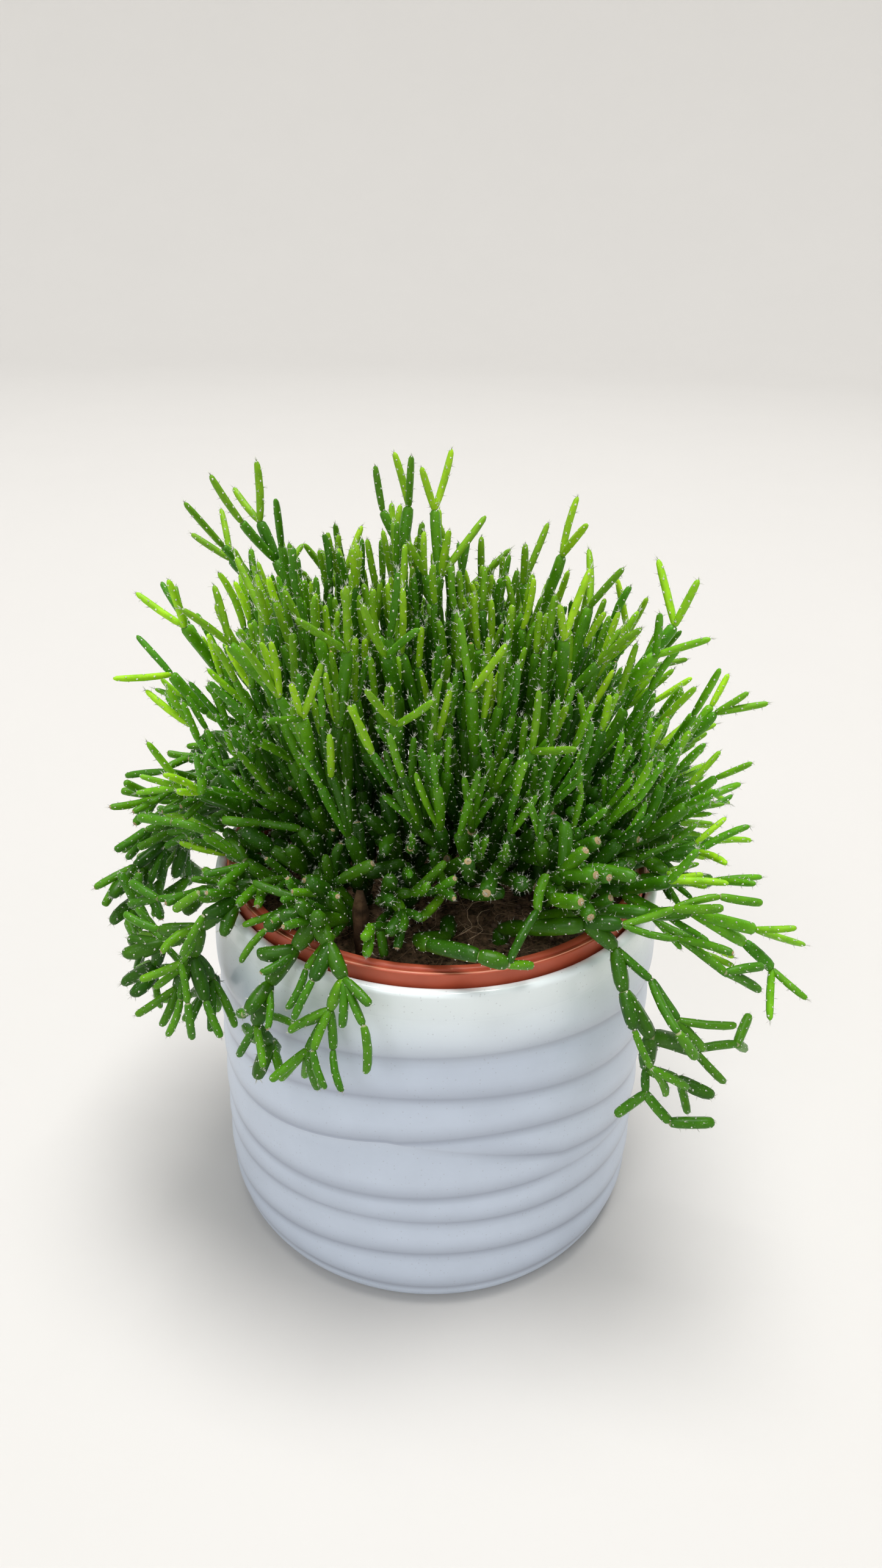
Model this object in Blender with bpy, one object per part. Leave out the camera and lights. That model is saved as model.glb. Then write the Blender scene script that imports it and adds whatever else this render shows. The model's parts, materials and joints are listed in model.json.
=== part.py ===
"""A potted dancing bones cactus: a ribbed ceramic cachepot, the plastic nursery pot
that stands in it, its ball of potting soil, and the stems, each grown bone by bone.

Metres, +Z up. The origin is the middle of the cachepot's foot, and the viewer is at -Y.
"""
import math
import random
from collections import namedtuple

import bmesh
import bpy
import numpy as np
from mathutils import Matrix, Vector

UP = Vector((0.0, 0.0, 1.0))
SEAT = 0.0003                   # clearance between pieces that rest on each other

# Cachepot: glazed ceramic, sold as 14 cm wide for a 13 cm nursery pot
POT_HEIGHT = 0.1218
POT_RADIUS = 0.0696             # the creases of the relief, without its swells
POT_FOOT_RADIUS = 0.0655
POT_FOOT_ROUND = 0.007
POT_MOUTH_RADIUS = 0.0660
POT_FLOOR = 0.0060
POT_FLOOR_ROUND = 0.0030
POT_INNER_FLOOR_RADIUS = 0.0630
POT_LIP_ROUND = 0.0016
POT_SIDES = 34
SWELL = 0.0013                  # how far a full swell stands out from its creases
FULL_SPACING = 0.011            # creases closer together than this have lower swells
LEAST_SPACING = 0.0008
ROWS_PER_SWELL = 3
SWELL_DROOP = 0.65              # below 1, a swell is fullest in its lower half
POT_BAND = 0.1130               # the plain lip starts here

# Creases of the relief from the foot up: height, twice-round sway, and a small ripple.
# The fourth splits from the fifth at the front, and at the back the second meets the third.
Crease = namedtuple("Crease", "height sway ripple phase")
SPLIT_HEIGHT = 0.0140
SPLIT_ANGLE = math.radians(12.0)
MEET_ANGLE = math.radians(10.0)
CREASE_TURN = math.radians(20.0)
CREASES = (
    Crease(0.0175, 0.0040, 0.0008, 0.4),
    Crease(0.0315, 0.0050, 0.0010, 2.0),
    Crease(0.0420, 0.0050, 0.0010, 3.6),
    Crease(0.0480, 0.0070, 0.0010, 5.1),
    Crease(0.0615, 0.0075, 0.0012, 5.1),
    Crease(0.0780, 0.0070, 0.0010, 1.2),
    Crease(0.0945, 0.0065, 0.0008, 2.9),
)

# Nursery pot: thin plastic with a stiff rim
LINER_RIM_RADIUS = 0.0656
LINER_RIM_TOP = 0.1254
LINER_RIM_DEPTH = 0.0100
LINER_RIM_STEP = 0.0021
LINER_MOUTH_RADIUS = 0.0612
LINER_WALL_TOP_RADIUS = 0.0618
LINER_FOOT = POT_FLOOR + SEAT
LINER_FOOT_RADIUS = 0.0470
LINER_WALL = 0.0010
LINER_SIDES = 32
DRAIN_RADIUS = 0.0045
DRAIN_CIRCLE = 0.0340
DRAINS = 6
DRAIN_SIDES = 8

# Potting soil
SOIL_LEVEL = 0.1175
SOIL_UNEVEN = 0.0006
SOIL_WAVES = (190, 230)         # radians per metre, across and along
SOIL_RINGS = (0.024, 0.048)

# Stems
STEM_SIDES = 5
HOLE_SIDES = 6
PEG_DEPTH = 0.0085
PEG_RISE = 0.0035               # a stem stands straight in its hole, and up to here
PEG_COLLAR = 0.0015
NECK = 0.62                     # a joint's girth beside its bone's
TIP = 0.55                      # and the end of the last bone's
SUNK = 0.75                     # how deep a side shoot starts in its parent, per girth
SUNK_GIRTH = 0.45
SHOULDERS = ((0.20, 1.0), (0.80, 0.96))         # girths along a bone
LAST_SHOULDERS = ((0.35, 1.0),)
CLEAR_OF_POT = 0.0008
CLEAR_OF_STEMS = 0.0005
FORK_SPREAD = math.cos(math.radians(48.0))      # tips seen further apart part at once
LEAST_FORK = math.cos(math.radians(17.0))
LEAST_GAIN = 0.4                # how much nearer its aim a bone has to get, per length
OVER_NEAR = 0.75                # a stem is over the rim this near to its lead, per bone,
TIP_NEAR = 0.5                  # and done this near to its tip, per tip bone
FORK_NEAR = 1.2                 # it forks at this many of the distance its forks need
TRIES = 40
SEED = 11

# A habit's bone lengths and girths are real sizes. Pull is how hard a bone turns to its
# aim, wander how far it strays from it, bow how much it bends along its length, and
# limber how sharply it may turn at a joint, as the least cosine of that turn.
Habit = namedtuple("Habit", "bone tip_bone girth_low girth_high girth_tip pull wander bow limber")
UPRIGHT = Habit(0.0185, 0.0145, 0.0023, 0.00165, 0.0011, 0.62, 0.10, 0.035, 0.55)
FANNED = Habit(0.0170, 0.0135, 0.0024, 0.0017, 0.0011, 0.60, 0.12, 0.040, 0.45)
TRAILING = Habit(0.0125, 0.0115, 0.0024, 0.0024, 0.0013, 0.72, 0.22, 0.050, 0.10)

STEM_GREENS = {UPRIGHT: (0.090, 0.230, 0.035), FANNED: (0.080, 0.210, 0.040), TRAILING: (0.050, 0.130, 0.030)}

Stem = namedtuple("Stem", "name habit root over tips")

# Each stem stands at its root, may be led over the rim, and ends in its tips
STEMS = (
    Stem("stem_left_tall", UPRIGHT, (-0.022, 0.002), (),
         ((-0.053, 0.012, 0.241), (-0.061, 0.018, 0.232), (-0.046, -0.002, 0.234),
          (-0.064, 0.002, 0.239))),
    Stem("stem_left_behind", UPRIGHT, (-0.016, 0.014), (),
         ((-0.076, 0.020, 0.227), (-0.078, 0.034, 0.214), (-0.070, 0.042, 0.220), (-0.045, 0.044, 0.209))),
    Stem("stem_left_outer", FANNED, (-0.032, 0.007), (),
         ((-0.087, 0.000, 0.206), (-0.090, 0.006, 0.191), (-0.094, -0.008, 0.183), (-0.085, 0.020, 0.203),
          (-0.076, -0.006, 0.212))),
    Stem("stem_left_front", UPRIGHT, (-0.029, -0.012), (),
         ((-0.067, -0.030, 0.212), (-0.060, -0.022, 0.216), (-0.047, -0.032, 0.219), (-0.055, -0.016, 0.222),
          (-0.058, -0.044, 0.198))),
    Stem("stem_left_low", FANNED, (-0.037, -0.006), (),
         ((-0.082, -0.022, 0.170), (-0.072, -0.032, 0.160), (-0.090, -0.012, 0.148),
          (-0.064, -0.040, 0.176))),
    Stem("stem_left_brush", UPRIGHT, (-0.021, -0.021), (),
         ((-0.050, -0.042, 0.208), (-0.036, -0.045, 0.215), (-0.029, -0.052, 0.207), (-0.042, -0.058, 0.194),
          (-0.024, -0.038, 0.222))),
    Stem("stem_middle_behind", UPRIGHT, (-0.009, 0.022), (),
         ((-0.043, 0.030, 0.213), (-0.032, 0.016, 0.223), (-0.025, 0.026, 0.220), (-0.036, 0.042, 0.208))),
    Stem("stem_middle_pair", UPRIGHT, (-0.006, 0.007), (),
         ((-0.020, 0.010, 0.241), (-0.015, 0.014, 0.244), (-0.010, 0.010, 0.244), (-0.016, 0.022, 0.228))),
    Stem("stem_middle_tall", UPRIGHT, (0.003, 0.000), (),
         ((0.001, 0.005, 0.247), (-0.007, 0.000, 0.243), (-0.010, -0.012, 0.226), (0.011, 0.006, 0.229))),
    Stem("stem_middle_far", UPRIGHT, (0.007, 0.024), (),
         ((-0.008, 0.048, 0.206), (0.004, 0.040, 0.212), (0.016, 0.050, 0.204), (0.020, 0.034, 0.212),
          (0.006, 0.058, 0.194))),
    Stem("stem_middle_front", UPRIGHT, (-0.008, -0.010), (),
         ((-0.020, -0.040, 0.218), (-0.012, -0.026, 0.222), (-0.006, -0.040, 0.212), (-0.018, -0.058, 0.203),
          (-0.002, -0.052, 0.198))),
    Stem("stem_right_front", UPRIGHT, (0.009, -0.015), (),
         ((0.016, -0.038, 0.208), (0.004, -0.036, 0.214), (0.024, -0.048, 0.200), (0.010, -0.056, 0.192),
          (0.034, -0.052, 0.186))),
    Stem("stem_right_tall", UPRIGHT, (0.014, 0.005), (),
         ((0.036, 0.006, 0.235), (0.029, 0.012, 0.226), (0.022, 0.002, 0.222), (0.038, -0.004, 0.230))),
    Stem("stem_right_high", UPRIGHT, (0.021, -0.005), (),
         ((0.040, 0.004, 0.221), (0.048, -0.010, 0.220), (0.038, -0.018, 0.222), (0.030, -0.024, 0.214),
          (0.052, -0.024, 0.208))),
    Stem("stem_right_reach", FANNED, (0.026, -0.012), (),
         ((0.058, -0.004, 0.221), (0.068, -0.012, 0.218), (0.071, -0.022, 0.205), (0.054, -0.028, 0.212))),
    Stem("stem_right_behind", UPRIGHT, (0.021, 0.015), (),
         ((0.063, 0.030, 0.199), (0.054, 0.036, 0.203), (0.080, 0.038, 0.176), (0.074, 0.026, 0.190))),
    Stem("stem_right_fork", FANNED, (0.031, 0.004), (),
         ((0.085, 0.006, 0.184), (0.090, 0.000, 0.183), (0.096, -0.004, 0.180), (0.086, 0.014, 0.164),
          (0.078, -0.010, 0.192))),
    Stem("stem_right_low", FANNED, (0.033, -0.017), (),
         ((0.085, -0.024, 0.163), (0.087, -0.032, 0.154), (0.075, -0.038, 0.168), (0.068, -0.026, 0.180),
          (0.078, -0.046, 0.150))),
    Stem("stem_right_level", FANNED, (0.032, -0.025), (),
         ((0.089, -0.040, 0.140), (0.080, -0.048, 0.148), (0.094, -0.030, 0.136), (0.068, -0.052, 0.158),
          (0.076, -0.060, 0.138))),
    Stem("stem_right_over", FANNED, (0.028, -0.033), ((0.058, -0.050, 0.132),),
         ((0.097, -0.055, 0.136), (0.102, -0.060, 0.116), (0.088, -0.064, 0.108), (0.104, -0.046, 0.124))),
    Stem("stem_right_hanging", TRAILING, (0.019, -0.038), ((0.040, -0.055, 0.132), (0.051, -0.064, 0.119)),
         ((0.086, -0.058, 0.098), (0.083, -0.063, 0.088), (0.073, -0.066, 0.079), (0.060, -0.067, 0.088))),
    Stem("stem_front_lying", TRAILING, (0.004, -0.034), ((0.000, -0.055, 0.130), (0.014, -0.061, 0.130)),
         ((0.027, -0.057, 0.141), (0.026, -0.064, 0.128))),
    Stem("stem_front_stub", TRAILING, (-0.010, -0.029), (),
         ((-0.010, -0.061, 0.130), (-0.019, -0.048, 0.142), (0.000, -0.052, 0.143))),
    Stem("stem_front_left", TRAILING, (-0.022, -0.034), ((-0.031, -0.058, 0.132),),
         ((-0.016, -0.077, 0.124), (-0.026, -0.075, 0.107), (-0.041, -0.070, 0.092),
          (-0.049, -0.063, 0.099))),
    Stem("stem_left_over", TRAILING, (-0.034, -0.023), ((-0.055, -0.042, 0.132),),
         ((-0.087, -0.040, 0.096), (-0.074, -0.044, 0.089), (-0.064, -0.052, 0.092),
          (-0.089, -0.028, 0.118))),
    Stem("stem_left_hanging", TRAILING, (-0.041, 0.008), ((-0.067, 0.006, 0.132),),
         ((-0.101, -0.004, 0.113), (-0.093, 0.010, 0.098), (-0.096, -0.018, 0.104),
          (-0.086, 0.022, 0.102))),
    Stem("stem_back_left", FANNED, (-0.024, 0.030), (),
         ((-0.056, 0.062, 0.184), (-0.070, 0.052, 0.176), (-0.040, 0.068, 0.180), (-0.048, 0.056, 0.197))),
    Stem("stem_back_middle", FANNED, (-0.001, 0.035), (),
         ((-0.012, 0.076, 0.168), (0.006, 0.072, 0.182), (-0.022, 0.064, 0.192), (0.014, 0.080, 0.160))),
    Stem("stem_back_right", FANNED, (0.024, 0.030), (),
         ((0.048, 0.062, 0.180), (0.036, 0.068, 0.176), (0.062, 0.054, 0.172), (0.034, 0.052, 0.196))),
    Stem("stem_back_low_left", TRAILING, (-0.036, 0.022), ((-0.056, 0.042, 0.133),),
         ((-0.082, 0.052, 0.124), (-0.076, 0.060, 0.104), (-0.064, 0.070, 0.112), (-0.090, 0.038, 0.128))),
    Stem("stem_back_hanging", TRAILING, (0.010, 0.043), ((0.014, 0.068, 0.132),),
         ((0.008, 0.092, 0.102), (0.022, 0.090, 0.092), (-0.006, 0.088, 0.112), (0.030, 0.086, 0.108))),
    Stem("stem_back_low_right", FANNED, (0.037, 0.021), ((0.060, 0.038, 0.136),),
         ((0.094, 0.046, 0.134), (0.088, 0.056, 0.120), (0.078, 0.060, 0.142), (0.100, 0.032, 0.126))),
)

# What the bones keep clear of, as rings: inner radius, outer radius and top
RIM_GUARD = 0.0580              # the rims' rings start a little inside the nursery pot's mouth
OBSTACLES = (
    (0.0, LINER_MOUTH_RADIUS, SOIL_LEVEL + SOIL_UNEVEN),
    (RIM_GUARD, POT_MOUTH_RADIUS, LINER_RIM_TOP),
    (RIM_GUARD, POT_RADIUS + SWELL, POT_HEIGHT),
)


class Bone:
    """One segment of a stem: a straight run from joint to joint, bowed a little."""

    def __init__(self, parent, start, end, bow, girth):
        self.children = []
        self.start = start
        self.end = end
        self.bow = bow
        self.girth = girth
        if parent:
            parent.children.append(self)

    def heading(self):
        return (self.end - self.start).normalized()

    def point(self, t):
        return self.start.lerp(self.end, t) + self.bow * (4.0 * t * (1.0 - t))


class Thicket:
    """Every bone grown so far, as the straight runs that a new one has to miss."""

    def __init__(self):
        self.bones = []
        self.starts = np.empty((0, 3))
        self.ends = np.empty((0, 3))
        self.girths = np.empty(0)

    def add(self, bone, girth):
        self.bones.append(bone)
        self.starts = np.vstack((self.starts, bone.start))
        self.ends = np.vstack((self.ends, bone.end))
        self.girths = np.append(self.girths, girth)

    def gaps(self, start, end):
        """Shortest distance from the run start-end to the surface of each bone."""
        near = np.array(start)
        along = np.array(end) - near
        runs = self.ends - self.starts
        offset = near - self.starts
        length2 = along @ along
        run2 = np.einsum("ij,ij->i", runs, runs)
        along_offset = offset @ along
        run_offset = np.einsum("ij,ij->i", runs, offset)
        cross = runs @ along
        apart = np.maximum(length2 * run2 - cross * cross, 1e-14)
        s = np.clip((cross * run_offset - along_offset * run2) / apart, 0.0, 1.0)
        t = np.clip((cross * s + run_offset) / run2, 0.0, 1.0)
        s = np.clip((cross * t - along_offset) / length2, 0.0, 1.0)
        between = offset + s[:, None] * along - t[:, None] * runs
        return np.linalg.norm(between, axis=1) - self.girths

    def is_clear(self, start, end, girth, kin):
        if not len(self.bones):
            return True
        gaps = self.gaps(start, end)
        for index, bone in enumerate(self.bones):
            if bone in kin:
                gaps[index] = 1.0
        return gaps.min() > girth + CLEAR_OF_STEMS


def misses_pot(start, end, girth):
    """Whether a bone stays off the soil and outside both pots' walls."""
    for step in range(1, 6):
        point = start.lerp(end, step / 5)
        radius = math.hypot(point.x, point.y)
        for inner, outer, top in OBSTACLES:
            aside = max(inner - radius, radius - outer, 0.0)
            above = max(point.z - top, 0.0)
            if math.hypot(aside, above) < girth + CLEAR_OF_POT:
                return False
    return True


def stray(draw):
    return Vector((draw.gauss(0, 1), draw.gauss(0, 1), draw.gauss(0, 1)))


def middle_of(points):
    return sum(points, Vector()) / len(points)


def split_tips(tips):
    """The tips in two groups, each round one of the two that lie furthest apart."""
    pairs = [(a, b) for i, a in enumerate(tips) for b in tips[i + 1:]]
    one, other = max(pairs, key=lambda pair: (pair[0] - pair[1]).length)
    groups = ([], [])
    for tip in tips:
        groups[(tip - one).length > (tip - other).length].append(tip)
    return groups


def fork_distance(habit, tips):
    """How far before its tips a shoot forks: one bone for each halving of them."""
    halvings = math.ceil(math.log2(len(tips)))
    return habit.tip_bone + habit.bone * (halvings - 1) if halvings else 0.0


def grow_bone(thicket, habit, parent, joint, heading, over, tips, age, draw):
    """One bone from a joint towards its aim, tried with more and more stray."""
    aim = over[0] if over else middle_of(tips)
    away = (aim - joint).length
    last = not over and len(tips) == 1
    usual = habit.tip_bone if last and away < 2.5 * habit.tip_bone else habit.bone
    to_fork = away if over else away - fork_distance(habit, tips)
    bones_left = max(1, round(to_fork / usual))
    ends_here = last and bones_left == 1
    girth = habit.girth_low + (habit.girth_high - habit.girth_low) * min(1.0, age / 4)
    if last:
        girth = habit.girth_tip + (girth - habit.girth_tip) * min(1.0, (bones_left - 1) / 2)
    girth *= draw.uniform(0.93, 1.07)
    kin = [parent] + parent.children if parent else []
    for attempt in range(TRIES):
        length = max(to_fork / bones_left, 0.6 * usual) * (1.0 - 0.02 * attempt)
        if not last:
            length *= draw.uniform(0.94, 1.06)
        pull = 1.0 if ends_here else habit.pull
        wander = (0.0 if ends_here else habit.wander) + 0.03 * attempt
        way = heading.lerp((aim - joint).normalized(), pull) + stray(draw) * wander
        way.normalize()
        end = joint + way * length
        bow = way.cross(stray(draw)) * (habit.bow * length * 0.5)
        reach = girth + bow.length
        start = joint + way * girth
        if parent and any(way.dot(other.heading()) > LEAST_FORK for other in parent.children):
            continue
        if parent and way.dot(parent.heading()) < habit.limber:
            continue
        if away - (aim - end).length < LEAST_GAIN * length:
            continue
        if misses_pot(start, end, reach) and thicket.is_clear(start, end, reach, kin):
            bone = Bone(parent, joint, end, bow, girth)
            thicket.add(bone, reach)
            return bone
    return None


def grow_stems():
    """All the stems, a bone at a time each in turn, so that none takes another's room."""
    draw = random.Random(SEED)
    thicket = Thicket()
    first_bones = {}
    shoots = []
    for stem in STEMS:
        foot = Vector((*stem.root, SOIL_LEVEL + PEG_RISE))
        lead = [Vector(point) for point in stem.over]
        tips = [Vector(point) for point in stem.tips]
        aim = lead[0] if lead else middle_of(tips)
        heading = UP.lerp((aim - foot).normalized(), 0.5).normalized()
        shoots.append((stem, None, foot, heading, lead, tips, 0))
    while shoots:
        stem, parent, joint, heading, over, tips, age = shoots.pop(0)
        bone = grow_bone(thicket, stem.habit, parent, joint, heading, over, tips, age, draw)
        if bone is None:
            continue
        if parent is None:
            first_bones[stem.name] = bone
        if over and (over[0] - bone.end).length < OVER_NEAR * stem.habit.bone:
            over = over[1:]
        if not over and len(tips) == 1 and (tips[0] - bone.end).length < TIP_NEAR * stem.habit.tip_bone:
            continue
        shoots_on = [(bone.heading(), tips)]
        if not over and len(tips) > 1:
            fork = [((middle_of(group) - bone.end).normalized(), group) for group in split_tips(tips)]
            left = (middle_of(tips) - bone.end).length
            near = left < FORK_NEAR * fork_distance(stem.habit, tips)
            if near or fork[0][0].dot(fork[1][0]) < FORK_SPREAD:
                shoots_on = fork
        for way, group in shoots_on:
            shoots.append((stem, bone, bone.end, way, over, group, age + 1))
    return first_bones


def ring_of(bone, t, girth, before=None):
    """A ring round a bone: centre, direction and girth. At a joint it halves the bend."""
    if before:
        way = before.heading() + bone.heading()
    else:
        length = (bone.end - bone.start).length
        way = bone.heading() + bone.bow * (4.0 * (1.0 - 2.0 * t) / length)
    return bone.point(t), way.normalized(), girth


def rings_of_chain(chain, parent):
    """Rings along a run of bones, from its hole or from inside its parent, to its tip."""
    first = chain[0]
    if parent is None:
        soil = first.start - UP * PEG_RISE
        rings = [(soil - UP * PEG_DEPTH, UP, first.girth), (soil + UP * PEG_COLLAR, UP, first.girth)]
    else:
        sunk = first.start - parent.heading() * parent.girth * SUNK
        rings = [(sunk, first.heading(), first.girth * SUNK_GIRTH)]
    for index, bone in enumerate(chain):
        if index:
            before = chain[index - 1]
            rings.append(ring_of(bone, 0.0, NECK * min(before.girth, bone.girth), before=before))
        for t, share in SHOULDERS if bone.children else LAST_SHOULDERS:
            rings.append(ring_of(bone, t, share * bone.girth))
    rings.append(ring_of(chain[-1], 1.0, TIP * chain[-1].girth))
    return rings


def loft(rings, sides, name):
    """A closed tube through the rings, extruded ring by ring."""
    bm = bmesh.new()
    centre, way, girth = rings[0]
    facing = Matrix.Translation(centre) @ UP.rotation_difference(way).to_matrix().to_4x4()
    verts = bmesh.ops.create_circle(bm, segments=sides, radius=girth, matrix=facing)["verts"]
    edges = bm.edges[:]
    for next_centre, next_way, next_girth in rings[1:]:
        grown = bmesh.ops.extrude_edge_only(bm, edges=edges)["geom"]
        verts = {part for part in grown if isinstance(part, bmesh.types.BMVert)}
        edges = [part for part in grown
                 if isinstance(part, bmesh.types.BMEdge) and verts.issuperset(part.verts)]
        turn = way.rotation_difference(next_way).to_matrix().to_4x4()
        move = Matrix.Translation(next_centre) @ turn @ Matrix.Scale(next_girth / girth, 4)
        bmesh.ops.transform(bm, matrix=move @ Matrix.Translation(-centre), verts=list(verts))
        centre, way, girth = next_centre, next_way, next_girth
    bmesh.ops.holes_fill(bm, edges=bm.edges[:], sides=sides)
    return finish_mesh(bm, name)


def chains_of(first_bone):
    """A stem as runs of bones: each fork's first shoot goes on, and the others start a run."""
    starts = [(first_bone, None)]
    while starts:
        bone, parent = starts.pop(0)
        chain = [bone]
        while bone.children:
            starts += [(child, bone) for child in bone.children[1:]]
            bone = bone.children[0]
            chain.append(bone)
        yield chain, parent


def finish_mesh(bm, name):
    bmesh.ops.recalc_face_normals(bm, faces=bm.faces[:])
    mesh = bpy.data.meshes.new(name)
    bm.to_mesh(mesh)
    bm.free()
    return mesh


def add_object(name, mesh, material=None):
    obj = bpy.data.objects.new(name, mesh)
    bpy.context.scene.collection.objects.link(obj)
    if material:
        mesh.materials.append(material)
    return obj


def apply_boolean(obj, operation, other=None, collection=None):
    """Applies one Boolean to an object, and removes what it was joined to or cut by."""
    cut = obj.modifiers.new(operation.title(), "BOOLEAN")
    cut.operation = operation
    cut.solver = "EXACT"
    if collection:
        cut.operand_type = "COLLECTION"
        cut.collection = collection
    else:
        cut.object = other
    shaped = obj.evaluated_get(bpy.context.evaluated_depsgraph_get())
    mesh = bpy.data.meshes.new_from_object(shaped)
    obj.modifiers.remove(cut)
    obj.data = mesh
    for used in list(collection.objects) if collection else [other]:
        bpy.data.objects.remove(used)
    if collection:
        bpy.data.collections.remove(collection)


def make_stem(name, first_bone, material):
    """One stem: the run up from its hole, with its side runs joined to it."""
    runs = [loft(rings_of_chain(chain, parent), STEM_SIDES, name) for chain, parent in chains_of(first_bone)]
    stem = add_object(name, runs[0], material)
    if len(runs) > 1:
        side_runs = bpy.data.collections.new(name + "_side_runs")
        bpy.context.scene.collection.children.link(side_runs)
        for mesh in runs[1:]:
            side_runs.objects.link(bpy.data.objects.new(name + "_run", mesh))
        apply_boolean(stem, "UNION", collection=side_runs)
    shade(stem)


def shade(obj):
    obj.data.shade_smooth()
    obj.data.set_sharp_from_angle(angle=math.radians(50.0))


def lathe(profile, sides, name):
    """A turned solid: the profile's points are (radius, height) pairs."""
    bm = bmesh.new()
    verts = [bm.verts.new((radius, 0.0, height)) for radius, height in profile]
    edges = [bm.edges.new(pair) for pair in zip(verts, verts[1:])]
    bmesh.ops.spin(bm, geom=verts + edges, cent=(0, 0, 0), axis=UP, angle=2 * math.pi,
                   steps=sides, use_merge=True)
    bmesh.ops.remove_doubles(bm, verts=bm.verts[:], dist=1e-6)
    return finish_mesh(bm, name)


def arc(centre, radius, first, last, steps=2):
    """Points on an arc of a profile, between two angles in degrees."""
    turns = [math.radians(first + (last - first) * step / steps) for step in range(steps + 1)]
    return [(centre[0] + radius * math.cos(turn), centre[1] + radius * math.sin(turn)) for turn in turns]


def within(low, value, high):
    return min(max(value, low), high)


def crease_heights(angle):
    """Heights of the creases at an angle round the pot, from the foot to the lip.

    The angle is 0 at the front and grows to the right. Where two creases run together,
    the swell between them dies away.
    """
    heights = [crease.height + crease.sway * math.cos(2 * angle - CREASE_TURN)
               + crease.ripple * math.cos(3 * angle + crease.phase) for crease in CREASES]
    split = within(0.0, 0.5 + 1.3 * math.sin(angle - SPLIT_ANGLE), 1.0)
    heights[3] = heights[4] - SPLIT_HEIGHT * split
    apart = within(0.0, 1.3 + 1.5 * math.cos(angle - MEET_ANGLE), 1.0)
    heights[1] = heights[2] - (heights[2] - heights[1]) * apart
    heights = [POT_FOOT_ROUND] + heights + [POT_BAND]
    for index in range(1, len(heights)):
        heights[index] = max(heights[index], heights[index - 1] + LEAST_SPACING)
    return heights


def relief_point(level, angle):
    """A point on the pot's waved wall: level counts creases up from the foot."""
    heights = crease_heights(angle)
    band = min(int(level), len(heights) - 2)
    share = level - band
    spacing = heights[band + 1] - heights[band]
    swell = SWELL * min(1.0, spacing / FULL_SPACING) * math.sin(math.pi * share ** SWELL_DROOP)
    radius = POT_RADIUS + swell
    return Vector((radius * math.sin(angle), -radius * math.cos(angle), heights[band] + share * spacing))


def make_cachepot(material):
    """The turned pot, with the rows of its outer wall then laid along the creases."""
    bands = len(CREASES) + 1
    rows = bands * ROWS_PER_SWELL
    corner = [(POT_RADIUS - (POT_RADIUS - POT_FOOT_RADIUS) * (1 - math.sin(turn)),
               POT_FOOT_ROUND * (1 - math.cos(turn))) for turn in (0.0, 0.5, 1.0)]
    wall = [(POT_RADIUS, POT_FOOT_ROUND + (POT_BAND - POT_FOOT_ROUND) * row / rows)
            for row in range(rows + 1)]
    lip = POT_HEIGHT - POT_LIP_ROUND
    lip_out = arc((POT_RADIUS - POT_LIP_ROUND, lip), POT_LIP_ROUND, 0, 90)
    lip_in = arc((POT_MOUTH_RADIUS + POT_LIP_ROUND, lip), POT_LIP_ROUND, 90, 180)
    inside = [(POT_INNER_FLOOR_RADIUS, POT_FLOOR + POT_FLOOR_ROUND),
              (POT_INNER_FLOOR_RADIUS - POT_FLOOR_ROUND, POT_FLOOR), (0.0, POT_FLOOR)]
    profile = [(0.0, 0.0)] + corner + wall + lip_out + lip_in + inside
    mesh = lathe(profile, POT_SIDES, "cachepot")
    for vert in mesh.vertices:
        radius = math.hypot(vert.co.x, vert.co.y)
        height = vert.co.z
        if radius > POT_RADIUS - 1e-5 and POT_FOOT_ROUND - 1e-5 < height < POT_BAND + 1e-5:
            level = bands * (height - POT_FOOT_ROUND) / (POT_BAND - POT_FOOT_ROUND)
            vert.co = relief_point(within(0.0, level, bands), math.atan2(vert.co.x, -vert.co.y))
    pot = add_object("cachepot", mesh, material)
    shade(pot)


def liner_radius(height):
    """Outer radius of the nursery pot's tapered wall."""
    share = (height - LINER_FOOT) / (LINER_RIM_TOP - LINER_RIM_DEPTH - LINER_FOOT)
    return LINER_FOOT_RADIUS + (LINER_WALL_TOP_RADIUS - LINER_FOOT_RADIUS) * share


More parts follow.
